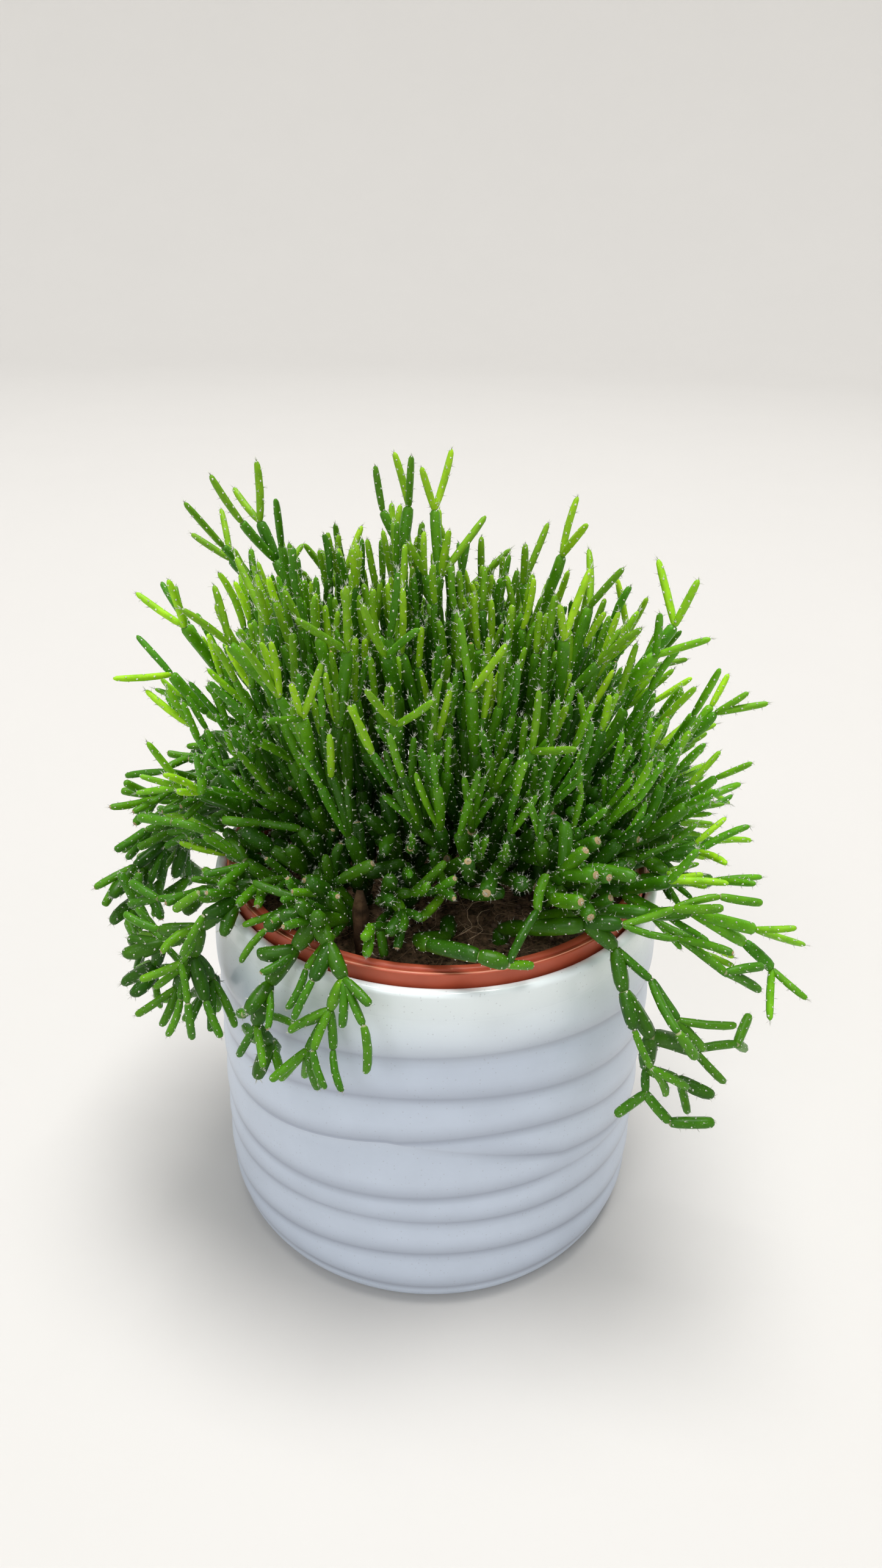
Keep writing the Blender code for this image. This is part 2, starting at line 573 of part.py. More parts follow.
def make_liner(material):
    """The nursery pot, with its stiff stepped rim and the drain holes in its foot."""
    rim_base = LINER_RIM_TOP - LINER_RIM_DEPTH
    profile = [
        (0.0, LINER_FOOT),
        (LINER_FOOT_RADIUS, LINER_FOOT),
        (LINER_WALL_TOP_RADIUS, rim_base),
        (LINER_RIM_RADIUS - 0.0005, rim_base),
        (LINER_RIM_RADIUS, LINER_RIM_TOP - 0.0004),
        (LINER_RIM_RADIUS - 0.0004, LINER_RIM_TOP - 0.0001),
        (LINER_MOUTH_RADIUS + LINER_RIM_STEP, LINER_RIM_TOP - 0.0003),
        (LINER_MOUTH_RADIUS + LINER_RIM_STEP - 0.0003, LINER_RIM_TOP),
        (LINER_MOUTH_RADIUS, LINER_RIM_TOP),
        (LINER_WALL_TOP_RADIUS - LINER_WALL, rim_base),
        (LINER_FOOT_RADIUS - LINER_WALL, LINER_FOOT + LINER_WALL),
        (0.0, LINER_FOOT + LINER_WALL),
    ]
    liner = add_object("nursery_pot", lathe(profile, LINER_SIDES, "nursery_pot"), material)
    drains = bmesh.new()
    for index in range(DRAINS):
        turn = Matrix.Rotation(2 * math.pi * index / DRAINS, 4, "Z")
        spot = turn @ Matrix.Translation((DRAIN_CIRCLE, 0, LINER_FOOT))
        bmesh.ops.create_cone(drains, segments=DRAIN_SIDES, radius1=DRAIN_RADIUS, radius2=DRAIN_RADIUS,
                              depth=4 * LINER_WALL, cap_ends=True, matrix=spot)
    cutter = add_object("drain_cutters", finish_mesh(drains, "drain_cutters"))
    apply_boolean(liner, "DIFFERENCE", other=cutter)
    shade(liner)


def make_soil(first_bones, material):
    """The root ball: it fills the nursery pot, with a plain hole for each stem."""
    bottom = LINER_FOOT + LINER_WALL + SEAT
    low_radius = liner_radius(bottom) - LINER_WALL - 2 * SEAT
    top_radius = LINER_WALL_TOP_RADIUS - LINER_WALL - SEAT
    profile = [(0.0, bottom), (low_radius, bottom), (top_radius, SOIL_LEVEL)]
    profile += [(radius, SOIL_LEVEL) for radius in reversed(SOIL_RINGS)] + [(0.0, SOIL_LEVEL)]
    mesh = lathe(profile, LINER_SIDES, "soil")
    for vert in mesh.vertices:
        if vert.co.z > SOIL_LEVEL - 1e-5:
            across, along = (wave * part for wave, part in zip(SOIL_WAVES, vert.co))
            vert.co.z += SOIL_UNEVEN * (math.sin(across) + math.cos(along)) / 2
    soil = add_object("soil", mesh, material)
    holes = bmesh.new()
    for bone in first_bones.values():
        radius = (bone.girth + SEAT) / math.cos(math.pi / HOLE_SIDES)
        depth = 2 * (PEG_DEPTH + SEAT)
        centre = (bone.start.x, bone.start.y, SOIL_LEVEL)
        bmesh.ops.create_cone(holes, segments=HOLE_SIDES, radius1=radius, radius2=radius, depth=depth,
                              cap_ends=True, matrix=Matrix.Translation(centre))
    cutter = add_object("hole_cutters", finish_mesh(holes, "hole_cutters"))
    apply_boolean(soil, "DIFFERENCE", other=cutter)
    shade(soil)


def make_material(name, colour, roughness):
    material = bpy.data.materials.new(name)
    material.use_nodes = True
    shader = material.node_tree.nodes["Principled BSDF"]
    shader.inputs["Base Color"].default_value = (*colour, 1.0)
    shader.inputs["Roughness"].default_value = roughness
    shader.inputs["Metallic"].default_value = 0.0
    return material


def main():
    for obj in list(bpy.data.objects):
        bpy.data.objects.remove(obj)
    glaze = make_material("pale_glaze", (0.55, 0.61, 0.68), 0.35)
    plastic = make_material("terracotta_plastic", (0.42, 0.10, 0.05), 0.40)
    compost = make_material("compost", (0.045, 0.026, 0.017), 0.95)
    first_bones = grow_stems()
    make_cachepot(glaze)
    make_liner(plastic)
    make_soil(first_bones, compost)
    for stem in STEMS:
        green = make_material(stem.name + "_green", STEM_GREENS[stem.habit], 0.42)
        make_stem(stem.name, first_bones[stem.name], green)


main()
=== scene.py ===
"""Looks for the potted dancing bones cactus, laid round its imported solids.

Metres, +Z up, the viewer at -Y. The stems grow by the rule that made their solids, so the
same bones stand in the same places, and then bear the side shoots that the solids leave out.
"""
import json
import math
import random
from collections import namedtuple

import bmesh
import bpy
import numpy as np
from mathutils import Matrix, Quaternion, Vector, noise

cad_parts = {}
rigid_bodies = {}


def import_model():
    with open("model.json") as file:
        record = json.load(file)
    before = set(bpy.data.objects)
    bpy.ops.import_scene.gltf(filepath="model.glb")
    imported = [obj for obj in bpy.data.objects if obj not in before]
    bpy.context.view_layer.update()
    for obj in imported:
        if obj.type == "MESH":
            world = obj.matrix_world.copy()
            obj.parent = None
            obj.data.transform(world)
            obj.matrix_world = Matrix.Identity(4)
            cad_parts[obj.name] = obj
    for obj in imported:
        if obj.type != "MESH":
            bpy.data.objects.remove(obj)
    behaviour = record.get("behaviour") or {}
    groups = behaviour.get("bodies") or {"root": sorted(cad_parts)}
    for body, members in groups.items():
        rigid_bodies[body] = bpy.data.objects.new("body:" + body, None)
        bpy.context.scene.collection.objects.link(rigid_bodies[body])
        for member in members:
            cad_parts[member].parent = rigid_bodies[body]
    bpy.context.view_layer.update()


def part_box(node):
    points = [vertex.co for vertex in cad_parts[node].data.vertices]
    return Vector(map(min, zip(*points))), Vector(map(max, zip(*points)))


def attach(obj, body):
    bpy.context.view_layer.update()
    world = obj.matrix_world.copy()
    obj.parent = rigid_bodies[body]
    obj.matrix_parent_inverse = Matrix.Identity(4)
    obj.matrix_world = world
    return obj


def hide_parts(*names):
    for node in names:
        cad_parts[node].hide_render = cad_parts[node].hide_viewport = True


bl_info = {
    "name": "Potted Dancing Bones Cactus",
    "version": (1, 0, 0),
    "blender": (4, 5, 0),
    "location": "3D View > Sidebar > Cactus",
    "description": "Models the looks of a potted dancing bones cactus round its packed solids",
    "category": "Add Mesh",
}

for leftover in list(bpy.data.objects):
    bpy.data.objects.remove(leftover)
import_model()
POT_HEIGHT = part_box("cachepot")[1].z
LINER_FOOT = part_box("nursery_pot")[0].z
LINER_RIM_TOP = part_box("nursery_pot")[1].z
LINER_RIM_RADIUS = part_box("nursery_pot")[1].x
SOIL_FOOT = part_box("soil")[0].z

UP = Vector((0.0, 0.0, 1.0))
MM = 0.001
TINY = 1e-5
FULL_TURN = 6.3

# Cachepot
POT_RADIUS = 0.0696             # the creases of the relief, without its swells
POT_FOOT_RADIUS = 0.0655
POT_FOOT_ROUND = 0.007
POT_MOUTH_RADIUS = 0.0660
POT_FLOOR = 0.0060
POT_FLOOR_ROUND = 0.0030
POT_INNER_FLOOR_RADIUS = 0.0630
POT_LIP_ROUND = 0.0016
POT_SIDES = 144
SWELL = 0.0013                  # how far a full swell stands out from its creases
FULL_SPACING = 0.011            # creases closer together than this have lower swells
LEAST_SPACING = 0.0008
ROWS_PER_SWELL = 9
SWELL_DROOP = 0.65              # below 1, a swell is fullest in its lower half
PAINTED_SHADE_RISE = 0.0075              # painted shade: the glaze is darkened this far above a crease, on a swell's underside
PAINTED_SHADE_DROP = 0.0025              # and this far below it
PAINTED_SHADE_FADE = 1.4                 # how fast the painted shade fades
POT_BAND = 0.1130               # the plain lip starts here

# Creases of the relief from the foot up: height, twice-round sway, and a small ripple.
# The fourth splits from the fifth at the front, and at the back the second meets the third.
Crease = namedtuple("Crease", "height sway ripple phase")
SPLIT_HEIGHT = 0.0140
SPLIT_ANGLE = math.radians(12.0)
MEET_ANGLE = math.radians(10.0)
CREASE_TURN = math.radians(20.0)
SPLIT_RAMP = (0.5, 1.3)         # how far apart the creases are, and how that changes round the pot
MEET_RAMP = (1.3, 1.5)
CREASES = (
    Crease(0.0175, 0.0040, 0.0008, 0.4),
    Crease(0.0315, 0.0050, 0.0010, 2.0),
    Crease(0.0420, 0.0050, 0.0010, 3.6),
    Crease(0.0480, 0.0070, 0.0010, 5.1),
    Crease(0.0615, 0.0075, 0.0012, 5.1),
    Crease(0.0780, 0.0070, 0.0010, 1.2),
    Crease(0.0945, 0.0065, 0.0008, 2.9),
)

# Nursery pot
LINER_RIM_DEPTH = 0.0100
LINER_RIM_STEP = 0.0021
LINER_MOUTH_RADIUS = 0.0612
LINER_WALL_TOP_RADIUS = 0.0618
LINER_FOOT_RADIUS = 0.0470
LINER_WALL = 0.0010
LINER_SIDES = 192
LINER_EDGE = 0.0004
FLASH_WIDTH = 0.00035           # the ragged line that the mould left at the rim's outer edge
FLASH_HEIGHT = 0.00016
DRAIN_RADIUS = 0.0045
DRAIN_CIRCLE = 0.0340
DRAINS = 6
DRAIN_SIDES = 24

# Potting soil
SOIL_LEVEL = 0.1175
SOIL_UNEVEN = 0.0006
SOIL_WAVES = (190, 230)         # radians per metre, across and along
SOIL_SIDES = 128
SOIL_RINGS = 44
SOIL_CLEAR = 0.0003
SOIL_SINK = 0.0006              # the clods stand out of a surface this much lower
CLOD_HEIGHT = 0.0011
CLODS = 170.0                   # clods per metre
CRUMB_LEAST = 0.0005
CRUMB_RANGE = 0.0021
CRUMB_TILT = 0.6
PALE_CRUMBS = 0.05
FIBRE_LEAST = 0.004
FIBRE_RANGE = 0.012
FIBRE_SLOPE = 0.22
FIBRE_STEPS = 7
FIBRE_GIRTH = 0.009             # of its length
CRUMB_SHAPES = 6
FIBRE_SHAPES = 8
SOIL_SEED = 3

# Stems
PEG_RISE = 0.0035               # a stem stands straight in its hole, and up to here
CLEAR_OF_POT = 0.0008
CLEAR_OF_STEMS = 0.0005
FORK_SPREAD = math.cos(math.radians(48.0))      # tips seen further apart part at once
LEAST_FORK = math.cos(math.radians(17.0))
LEAST_GAIN = 0.4                # how much nearer its aim a bone has to get, per length
OVER_NEAR = 0.75                # a stem is over the rim this near to its lead, per bone,
TIP_NEAR = 0.5                  # and done this near to its tip, per tip bone
FORK_NEAR = 1.2                 # it forks at this many of the distance its forks need
TRIES = 40
SEED = 11

# A habit's bone lengths and girths are real sizes. Pull is how hard a bone turns to its
# aim, wander how far it strays from it, bow how much it bends along its length, and
# limber how sharply it may turn at a joint, as the least cosine of that turn.
Habit = namedtuple("Habit", "bone tip_bone girth_low girth_high girth_tip pull wander bow limber")
UPRIGHT = Habit(0.0185, 0.0145, 0.0023, 0.00165, 0.0011, 0.62, 0.10, 0.035, 0.55)
FANNED = Habit(0.0170, 0.0135, 0.0024, 0.0017, 0.0011, 0.60, 0.12, 0.040, 0.45)
TRAILING = Habit(0.0125, 0.0115, 0.0024, 0.0024, 0.0013, 0.72, 0.22, 0.050, 0.10)

# Each habit's skin, its slot, and how many times brighter its colours are: the fanned stems' skin is painted
# brighter, as painted light
SKINS_WITH_PAINTED_LIGHT = ((UPRIGHT, "upright", 1.0), (FANNED, "fanned", 1.4), (TRAILING, "trailing", 1.0))

Stem = namedtuple("Stem", "name habit root over tips")

# Each stem stands at its root, may be led over the rim, and ends in its tips
STEMS = (
    Stem("stem_left_tall", UPRIGHT, (-0.022, 0.002), (),
         ((-0.053, 0.012, 0.241), (-0.061, 0.018, 0.232), (-0.046, -0.002, 0.234),
          (-0.064, 0.002, 0.239))),
    Stem("stem_left_behind", UPRIGHT, (-0.016, 0.014), (),
         ((-0.076, 0.020, 0.227), (-0.078, 0.034, 0.214), (-0.070, 0.042, 0.220), (-0.045, 0.044, 0.209))),
    Stem("stem_left_outer", FANNED, (-0.032, 0.007), (),
         ((-0.087, 0.000, 0.206), (-0.090, 0.006, 0.191), (-0.094, -0.008, 0.183), (-0.085, 0.020, 0.203),
          (-0.076, -0.006, 0.212))),
    Stem("stem_left_front", UPRIGHT, (-0.029, -0.012), (),
         ((-0.067, -0.030, 0.212), (-0.060, -0.022, 0.216), (-0.047, -0.032, 0.219), (-0.055, -0.016, 0.222),
          (-0.058, -0.044, 0.198))),
    Stem("stem_left_low", FANNED, (-0.037, -0.006), (),
         ((-0.082, -0.022, 0.170), (-0.072, -0.032, 0.160), (-0.090, -0.012, 0.148),
          (-0.064, -0.040, 0.176))),
    Stem("stem_left_brush", UPRIGHT, (-0.021, -0.021), (),
         ((-0.050, -0.042, 0.208), (-0.036, -0.045, 0.215), (-0.029, -0.052, 0.207), (-0.042, -0.058, 0.194),
          (-0.024, -0.038, 0.222))),
    Stem("stem_middle_behind", UPRIGHT, (-0.009, 0.022), (),
         ((-0.043, 0.030, 0.213), (-0.032, 0.016, 0.223), (-0.025, 0.026, 0.220), (-0.036, 0.042, 0.208))),
    Stem("stem_middle_pair", UPRIGHT, (-0.006, 0.007), (),
         ((-0.020, 0.010, 0.241), (-0.015, 0.014, 0.244), (-0.010, 0.010, 0.244), (-0.016, 0.022, 0.228))),
    Stem("stem_middle_tall", UPRIGHT, (0.003, 0.000), (),
         ((0.001, 0.005, 0.247), (-0.007, 0.000, 0.243), (-0.010, -0.012, 0.226), (0.011, 0.006, 0.229))),
    Stem("stem_middle_far", UPRIGHT, (0.007, 0.024), (),
         ((-0.008, 0.048, 0.206), (0.004, 0.040, 0.212), (0.016, 0.050, 0.204), (0.020, 0.034, 0.212),
          (0.006, 0.058, 0.194))),
    Stem("stem_middle_front", UPRIGHT, (-0.008, -0.010), (),
         ((-0.020, -0.040, 0.218), (-0.012, -0.026, 0.222), (-0.006, -0.040, 0.212), (-0.018, -0.058, 0.203),
          (-0.002, -0.052, 0.198))),
    Stem("stem_right_front", UPRIGHT, (0.009, -0.015), (),
         ((0.016, -0.038, 0.208), (0.004, -0.036, 0.214), (0.024, -0.048, 0.200), (0.010, -0.056, 0.192),
          (0.034, -0.052, 0.186))),
    Stem("stem_right_tall", UPRIGHT, (0.014, 0.005), (),
         ((0.036, 0.006, 0.235), (0.029, 0.012, 0.226), (0.022, 0.002, 0.222), (0.038, -0.004, 0.230))),
    Stem("stem_right_high", UPRIGHT, (0.021, -0.005), (),
         ((0.040, 0.004, 0.221), (0.048, -0.010, 0.220), (0.038, -0.018, 0.222), (0.030, -0.024, 0.214),
          (0.052, -0.024, 0.208))),
    Stem("stem_right_reach", FANNED, (0.026, -0.012), (),
         ((0.058, -0.004, 0.221), (0.068, -0.012, 0.218), (0.071, -0.022, 0.205), (0.054, -0.028, 0.212))),
    Stem("stem_right_behind", UPRIGHT, (0.021, 0.015), (),
         ((0.063, 0.030, 0.199), (0.054, 0.036, 0.203), (0.080, 0.038, 0.176), (0.074, 0.026, 0.190))),
    Stem("stem_right_fork", FANNED, (0.031, 0.004), (),
         ((0.085, 0.006, 0.184), (0.090, 0.000, 0.183), (0.096, -0.004, 0.180), (0.086, 0.014, 0.164),
          (0.078, -0.010, 0.192))),
    Stem("stem_right_low", FANNED, (0.033, -0.017), (),
         ((0.085, -0.024, 0.163), (0.087, -0.032, 0.154), (0.075, -0.038, 0.168), (0.068, -0.026, 0.180),
          (0.078, -0.046, 0.150))),
    Stem("stem_right_level", FANNED, (0.032, -0.025), (),
         ((0.089, -0.040, 0.140), (0.080, -0.048, 0.148), (0.094, -0.030, 0.136), (0.068, -0.052, 0.158),
          (0.076, -0.060, 0.138))),
    Stem("stem_right_over", FANNED, (0.028, -0.033), ((0.058, -0.050, 0.132),),
         ((0.097, -0.055, 0.136), (0.102, -0.060, 0.116), (0.088, -0.064, 0.108), (0.104, -0.046, 0.124))),
    Stem("stem_right_hanging", TRAILING, (0.019, -0.038), ((0.040, -0.055, 0.132), (0.051, -0.064, 0.119)),
         ((0.086, -0.058, 0.098), (0.083, -0.063, 0.088), (0.073, -0.066, 0.079), (0.060, -0.067, 0.088))),
    Stem("stem_front_lying", TRAILING, (0.004, -0.034), ((0.000, -0.055, 0.130), (0.014, -0.061, 0.130)),
         ((0.027, -0.057, 0.141), (0.026, -0.064, 0.128))),
    Stem("stem_front_stub", TRAILING, (-0.010, -0.029), (),
         ((-0.010, -0.061, 0.130), (-0.019, -0.048, 0.142), (0.000, -0.052, 0.143))),
    Stem("stem_front_left", TRAILING, (-0.022, -0.034), ((-0.031, -0.058, 0.132),),
         ((-0.016, -0.077, 0.124), (-0.026, -0.075, 0.107), (-0.041, -0.070, 0.092),
          (-0.049, -0.063, 0.099))),
    Stem("stem_left_over", TRAILING, (-0.034, -0.023), ((-0.055, -0.042, 0.132),),
         ((-0.087, -0.040, 0.096), (-0.074, -0.044, 0.089), (-0.064, -0.052, 0.092),
          (-0.089, -0.028, 0.118))),
    Stem("stem_left_hanging", TRAILING, (-0.041, 0.008), ((-0.067, 0.006, 0.132),),
         ((-0.101, -0.004, 0.113), (-0.093, 0.010, 0.098), (-0.096, -0.018, 0.104),
          (-0.086, 0.022, 0.102))),
    Stem("stem_back_left", FANNED, (-0.024, 0.030), (),
         ((-0.056, 0.062, 0.184), (-0.070, 0.052, 0.176), (-0.040, 0.068, 0.180), (-0.048, 0.056, 0.197))),
    Stem("stem_back_middle", FANNED, (-0.001, 0.035), (),
         ((-0.012, 0.076, 0.168), (0.006, 0.072, 0.182), (-0.022, 0.064, 0.192), (0.014, 0.080, 0.160))),
    Stem("stem_back_right", FANNED, (0.024, 0.030), (),
         ((0.048, 0.062, 0.180), (0.036, 0.068, 0.176), (0.062, 0.054, 0.172), (0.034, 0.052, 0.196))),
    Stem("stem_back_low_left", TRAILING, (-0.036, 0.022), ((-0.056, 0.042, 0.133),),
         ((-0.082, 0.052, 0.124), (-0.076, 0.060, 0.104), (-0.064, 0.070, 0.112), (-0.090, 0.038, 0.128))),
    Stem("stem_back_hanging", TRAILING, (0.010, 0.043), ((0.014, 0.068, 0.132),),
         ((0.008, 0.092, 0.102), (0.022, 0.090, 0.092), (-0.006, 0.088, 0.112), (0.030, 0.086, 0.108))),
    Stem("stem_back_low_right", FANNED, (0.037, 0.021), ((0.060, 0.038, 0.136),),
         ((0.094, 0.046, 0.134), (0.088, 0.056, 0.120), (0.078, 0.060, 0.142), (0.100, 0.032, 0.126))),
)

# What the bones keep clear of, as rings: inner radius, outer radius and top
RIM_GUARD = 0.0580              # the rims' rings start a little inside the nursery pot's mouth
OBSTACLES = (
    (0.0, LINER_MOUTH_RADIUS, SOIL_LEVEL + SOIL_UNEVEN),
    (RIM_GUARD, POT_MOUTH_RADIUS, LINER_RIM_TOP),
    (RIM_GUARD, POT_RADIUS + SWELL, POT_HEIGHT),
)

# Side shoots, which the solids leave out: lengths, girths, how far they lean from their
# parent in degrees, how far apart in degrees those of one joint stand, and how clear they
# keep of other bones
Growth = namedtuple("Growth", "lengths girths leans apart clear")
LONG = Growth((0.0160, 0.0250), (0.00140, 0.00185), (3, 17), 11, 0.00005)
YOUNG = Growth((0.0110, 0.0190), (0.00095, 0.00118), (5, 22), 13, 0.00005)
LOW = Growth((0.0100, 0.0160), (0.00190, 0.00235), (6, 60), 28, 0.00005)
PLUMP = Growth((0.0095, 0.0135), (0.00200, 0.00255), (12, 60), 27, 0.00030)
SLIM = Growth((0.0110, 0.0160), (0.00105, 0.00135), (12, 50), 26, 0.00060)
PLUMP_SHARES = (0.80, 0.40)     # of the trailing shoots near the plant and far out; the rest are slim
SHOOT_SEED = 5
SHOOT_TRIES = 20
SHOOT_BOW = 0.8                 # as much as a habit's bones bow
SHOOT_ROOM = 0.0008             # a shoot needs no more room than this
LEAN_COST = 0.0022              # room that a shoot gives up to lean less, per radian
MOST_SHOOTS = 4
TRAILING_ORDERS = (3, 6)        # shoots on shoots, on trailing stems below the rim and above it
SHOOTS_OF = {"stem_right_hanging": 2, "stem_front_lying": 1, "stem_front_left": 7, "stem_left_over": 8,
             "stem_left_hanging": 6}
SWELLING = 1.15                 # a shoot is no thicker than this many of its parent's girths
TURN_TO_FLOW = 0.45             # how far a shoot turns from its parent's way to its habit's
LOW_TOP = 0.1480                # below this, shoots lean out to the rim and fill the middle
LOW_RADIUS = 0.0640
LOW_FAN = 0.0450                # low shoots this far out lean as much out as up
TRAILING_SHARE = 0.30           # of the wanted bones, at most, are trailing ones
LOW_SHARE = 0.45                # and this share is low or trailing ones
YOUNG_FROM = 0.68               # joints further out than this share of the outline bear young tips
YOUNG_REACH = 0.78              # and tips further out than this look young
REACHES = (0.50, 0.62, 0.74, 0.86, 1.0, 1.0, 1.0, 1.13, 1.13)      # of the outline, turn by turn
TRAILING_REACHES = (0.90, 1.0, 1.0, 1.1, 1.1)
LOW_REACHES = (0.86, 1.0, 1.0, 1.0)
LEAST_REACH = 0.80              # most shoots stop at this share of their turn's reach
ROOM_ASIDE = 0.005              # a shoot stays this near to the box of its stem's own bones
ROOM_ABOVE = 0.015              # but trailing ones may rise this much above it
MOST_STRAY = 0.0095             # and end this near to some bone of the solids
NEAR_TIPS = 5
TRAILING_OUT = 0.6              # how hard a trailing shoot turns outwards,
TRAILING_RISE = (-0.5, 0.5)     # and down from a bare bone's end, or up beside another shoot
TRAILING_AHEAD = 0.7            # against how hard it keeps to its parent's way
UPRIGHT_RISE = 1.4              # how hard an upright shoot turns up, to how hard outwards
FANNED_OUT = 0.6
SIGHT_SHARES = (0.35, 0.7, 1.0)                 # of a shoot's length, tried against the seen soil
HEART = Vector((0.0, 0.0, 0.100))               # the outline's reach is counted from here
SPRING = Vector((0.0, 0.0, 0.060))              # upright shoots fan out from here

# Stretches of soil that stay in the camera's view: the open one at the front, and the one
# that lies behind the husk
SeenSoil = namedtuple("SeenSoil", "x y width depth")
SEEN_SOIL = (SeenSoil(0.021, -0.033, 0.025, 0.018), SeenSoil(-0.0225, -0.030, 0.003, 0.012))

# Bones are made in girths: 1 wide at most, and as many girths long as they are slim.
# An outline is (share of the length, share of the girth) pairs from the joint to the end.
Shape = namedtuple("Shape", "slimness girth outline areoles")
SHAPES = {
    "tip": Shape(11.5, 1.2 * MM, ((0.012, 0.50), (0.05, 0.80), (0.20, 0.95), (0.50, 1.0), (0.80, 0.93),
                                  (0.94, 0.74), (0.985, 0.40)), 17),
    "club": Shape(9.5, 1.8 * MM, ((0.012, 0.50), (0.045, 0.74), (0.18, 0.86), (0.50, 0.96), (0.80, 1.0),
                                  (0.95, 0.92), (0.990, 0.62)), 22),
    "stout": Shape(7.0, 2.2 * MM, ((0.015, 0.50), (0.06, 0.80), (0.20, 0.95), (0.50, 1.0), (0.80, 0.99),
                                   (0.94, 0.86), (0.988, 0.52)), 20),
    "bottle": Shape(4.9, 2.3 * MM, ((0.02, 0.46), (0.08, 0.74), (0.25, 0.94), (0.50, 1.0), (0.75, 0.95),
                                    (0.92, 0.74), (0.985, 0.42)), 17),
}
BONE_SIDES = 7
SHAPE_DRAWS = 4                 # this many different copies of each shape
GOLDEN_ANGLE = math.radians(137.5)
SKIN, AREOLE, BRISTLE, SCAR = range(4)          # a stem's materials, in their order
ALONG = "along"                 # keeps a copy's own share of its length as the value
TUFT_HAIRS = 9                  # at the end of a bristly bone
PEG_LENGTH = 0.006
FAT = 0.0019                    # bones with more girth than this look no newer than FAT_AGE
FAT_AGE = 0.24
GROWN_AGE = 0.62                # and grown bones no newer than this
TRAILING_AGES = (0.36, 0.66)    # the looks of the trailing stems' thin tips
LOW_OLD = 0.85                  # of the low bones look as old as the fat ones
SHADED_RADIUS = 0.0760          # inside this, the brush's tips get older, darker colours the lower they are, as painted shade deep in the brush,
SHADED_TOP = 0.1950             # up to here
SHADED_AGE = 0.30               # times a tip's age at the lowest
NEWEST_SHARE = (0.40, 0.75)     # of the other tips are the newest ones, below NEWEST_FROM and above
NEWEST_FROM = 0.2050
AGE_FROM = 0.28                 # bones grow newer from this share of the outline outwards,
AGE_RISE = 0.85                 # by this much per share
AGE_SPREAD = 0.09
NEWEST_AGES = (0.75, 1.0)
NEW_AGES = (0.50, 0.75)
BRISTLY_SHARES = (0.80, 0.15)   # of the bare ends, and of the bones that bear others
SUNK = 0.3                      # a bone starts this many girths inside its joint
BOTTLE_BELOW = 6.5              # how slim a bone is at most, for each shape
STOUT_BELOW = 6.0
CLUB_ABOVE = 8.0                # and at least
TIP_GIRTH = 0.0015
SCARRED = {"tip": 0.15, "club": 0.0, "stout": 0.2, "bottle": 0.25}

# Long straws on the soil at the front: middle, direction in degrees, and length
STRAWS = ((0.0100, -0.0330, 56.0, 0.017), (0.0130, -0.0350, 60.0, 0.013), (0.0050, -0.0370, -8.0, 0.010))
STRAW_GIRTH = 1.7               # times a fibre's
STRAW_SLOPE = -0.16
STRAW_RISE = 0.0026

# A dry flake of husk, caught between the stems at the front left
HUSK = (Vector((-0.0205, -0.0490, 0.1165)), Vector((-0.0205, -0.0515, 0.1420)))
HUSK_ROOM = 0.0032
HUSK_RADIUS = 0.0026
HUSK_CURL = 2.3                 # radians round its length, where it is widest
HUSK_CURL_SPAN = (0.15, 0.90)   # of half a turn, over which its curl opens and closes
HUSK_THICKNESS = 0.00025
HUSK_CRUMPLE = 0.0006
HUSK_FOLDS = 5.0
HUSK_ROWS = 10
HUSK_COLUMNS = 7
HUSK_PATCHES = 300.0            # paler and darker patches per metre,
HUSK_TONE = 0.3                 # round this tone,
HUSK_TONE_RANGE = 0.8           # and this much to either side

# Stage
STAGE_RADIUS = 2.2
STAGE_CURVE = 1.2
STAGE_HEIGHT = 2.4
STAGE_SIDES = 96
SENSOR_WIDTH = 36.0
FOCAL_SHARE = 1781 / 2569       # focal length per long side of the picture
CAMERA_PLACE = (0.0, -0.2955, 0.3041)
CAMERA_PITCH = 27.91            # degrees below the horizon
CAMERA_ROLL = 1.62
CAMERA_YAW = 0.12
LIT_POINT = (0.0, 0.0, 0.12)
LIGHTS = (
    ("overhead", (0.10, 0.30, 3.80), (2.1, 1.9), 0.82, (1.0, 0.98, 0.96)),
    ("front_left", (-1.4, -2.8, 2.8), (1.4, 1.4), 0.18, (0.95, 0.97, 1.0)),
)


class Bone:
    """One segment of a stem: a straight run from joint to joint, bowed a little."""

    def __init__(self, parent, start, end, bow, girth):
        self.children = []
        self.start = start
        self.end = end
        self.bow = bow
        self.girth = girth
        self.order = 0
        if parent:
            parent.children.append(self)

    def heading(self):
        return (self.end - self.start).normalized()


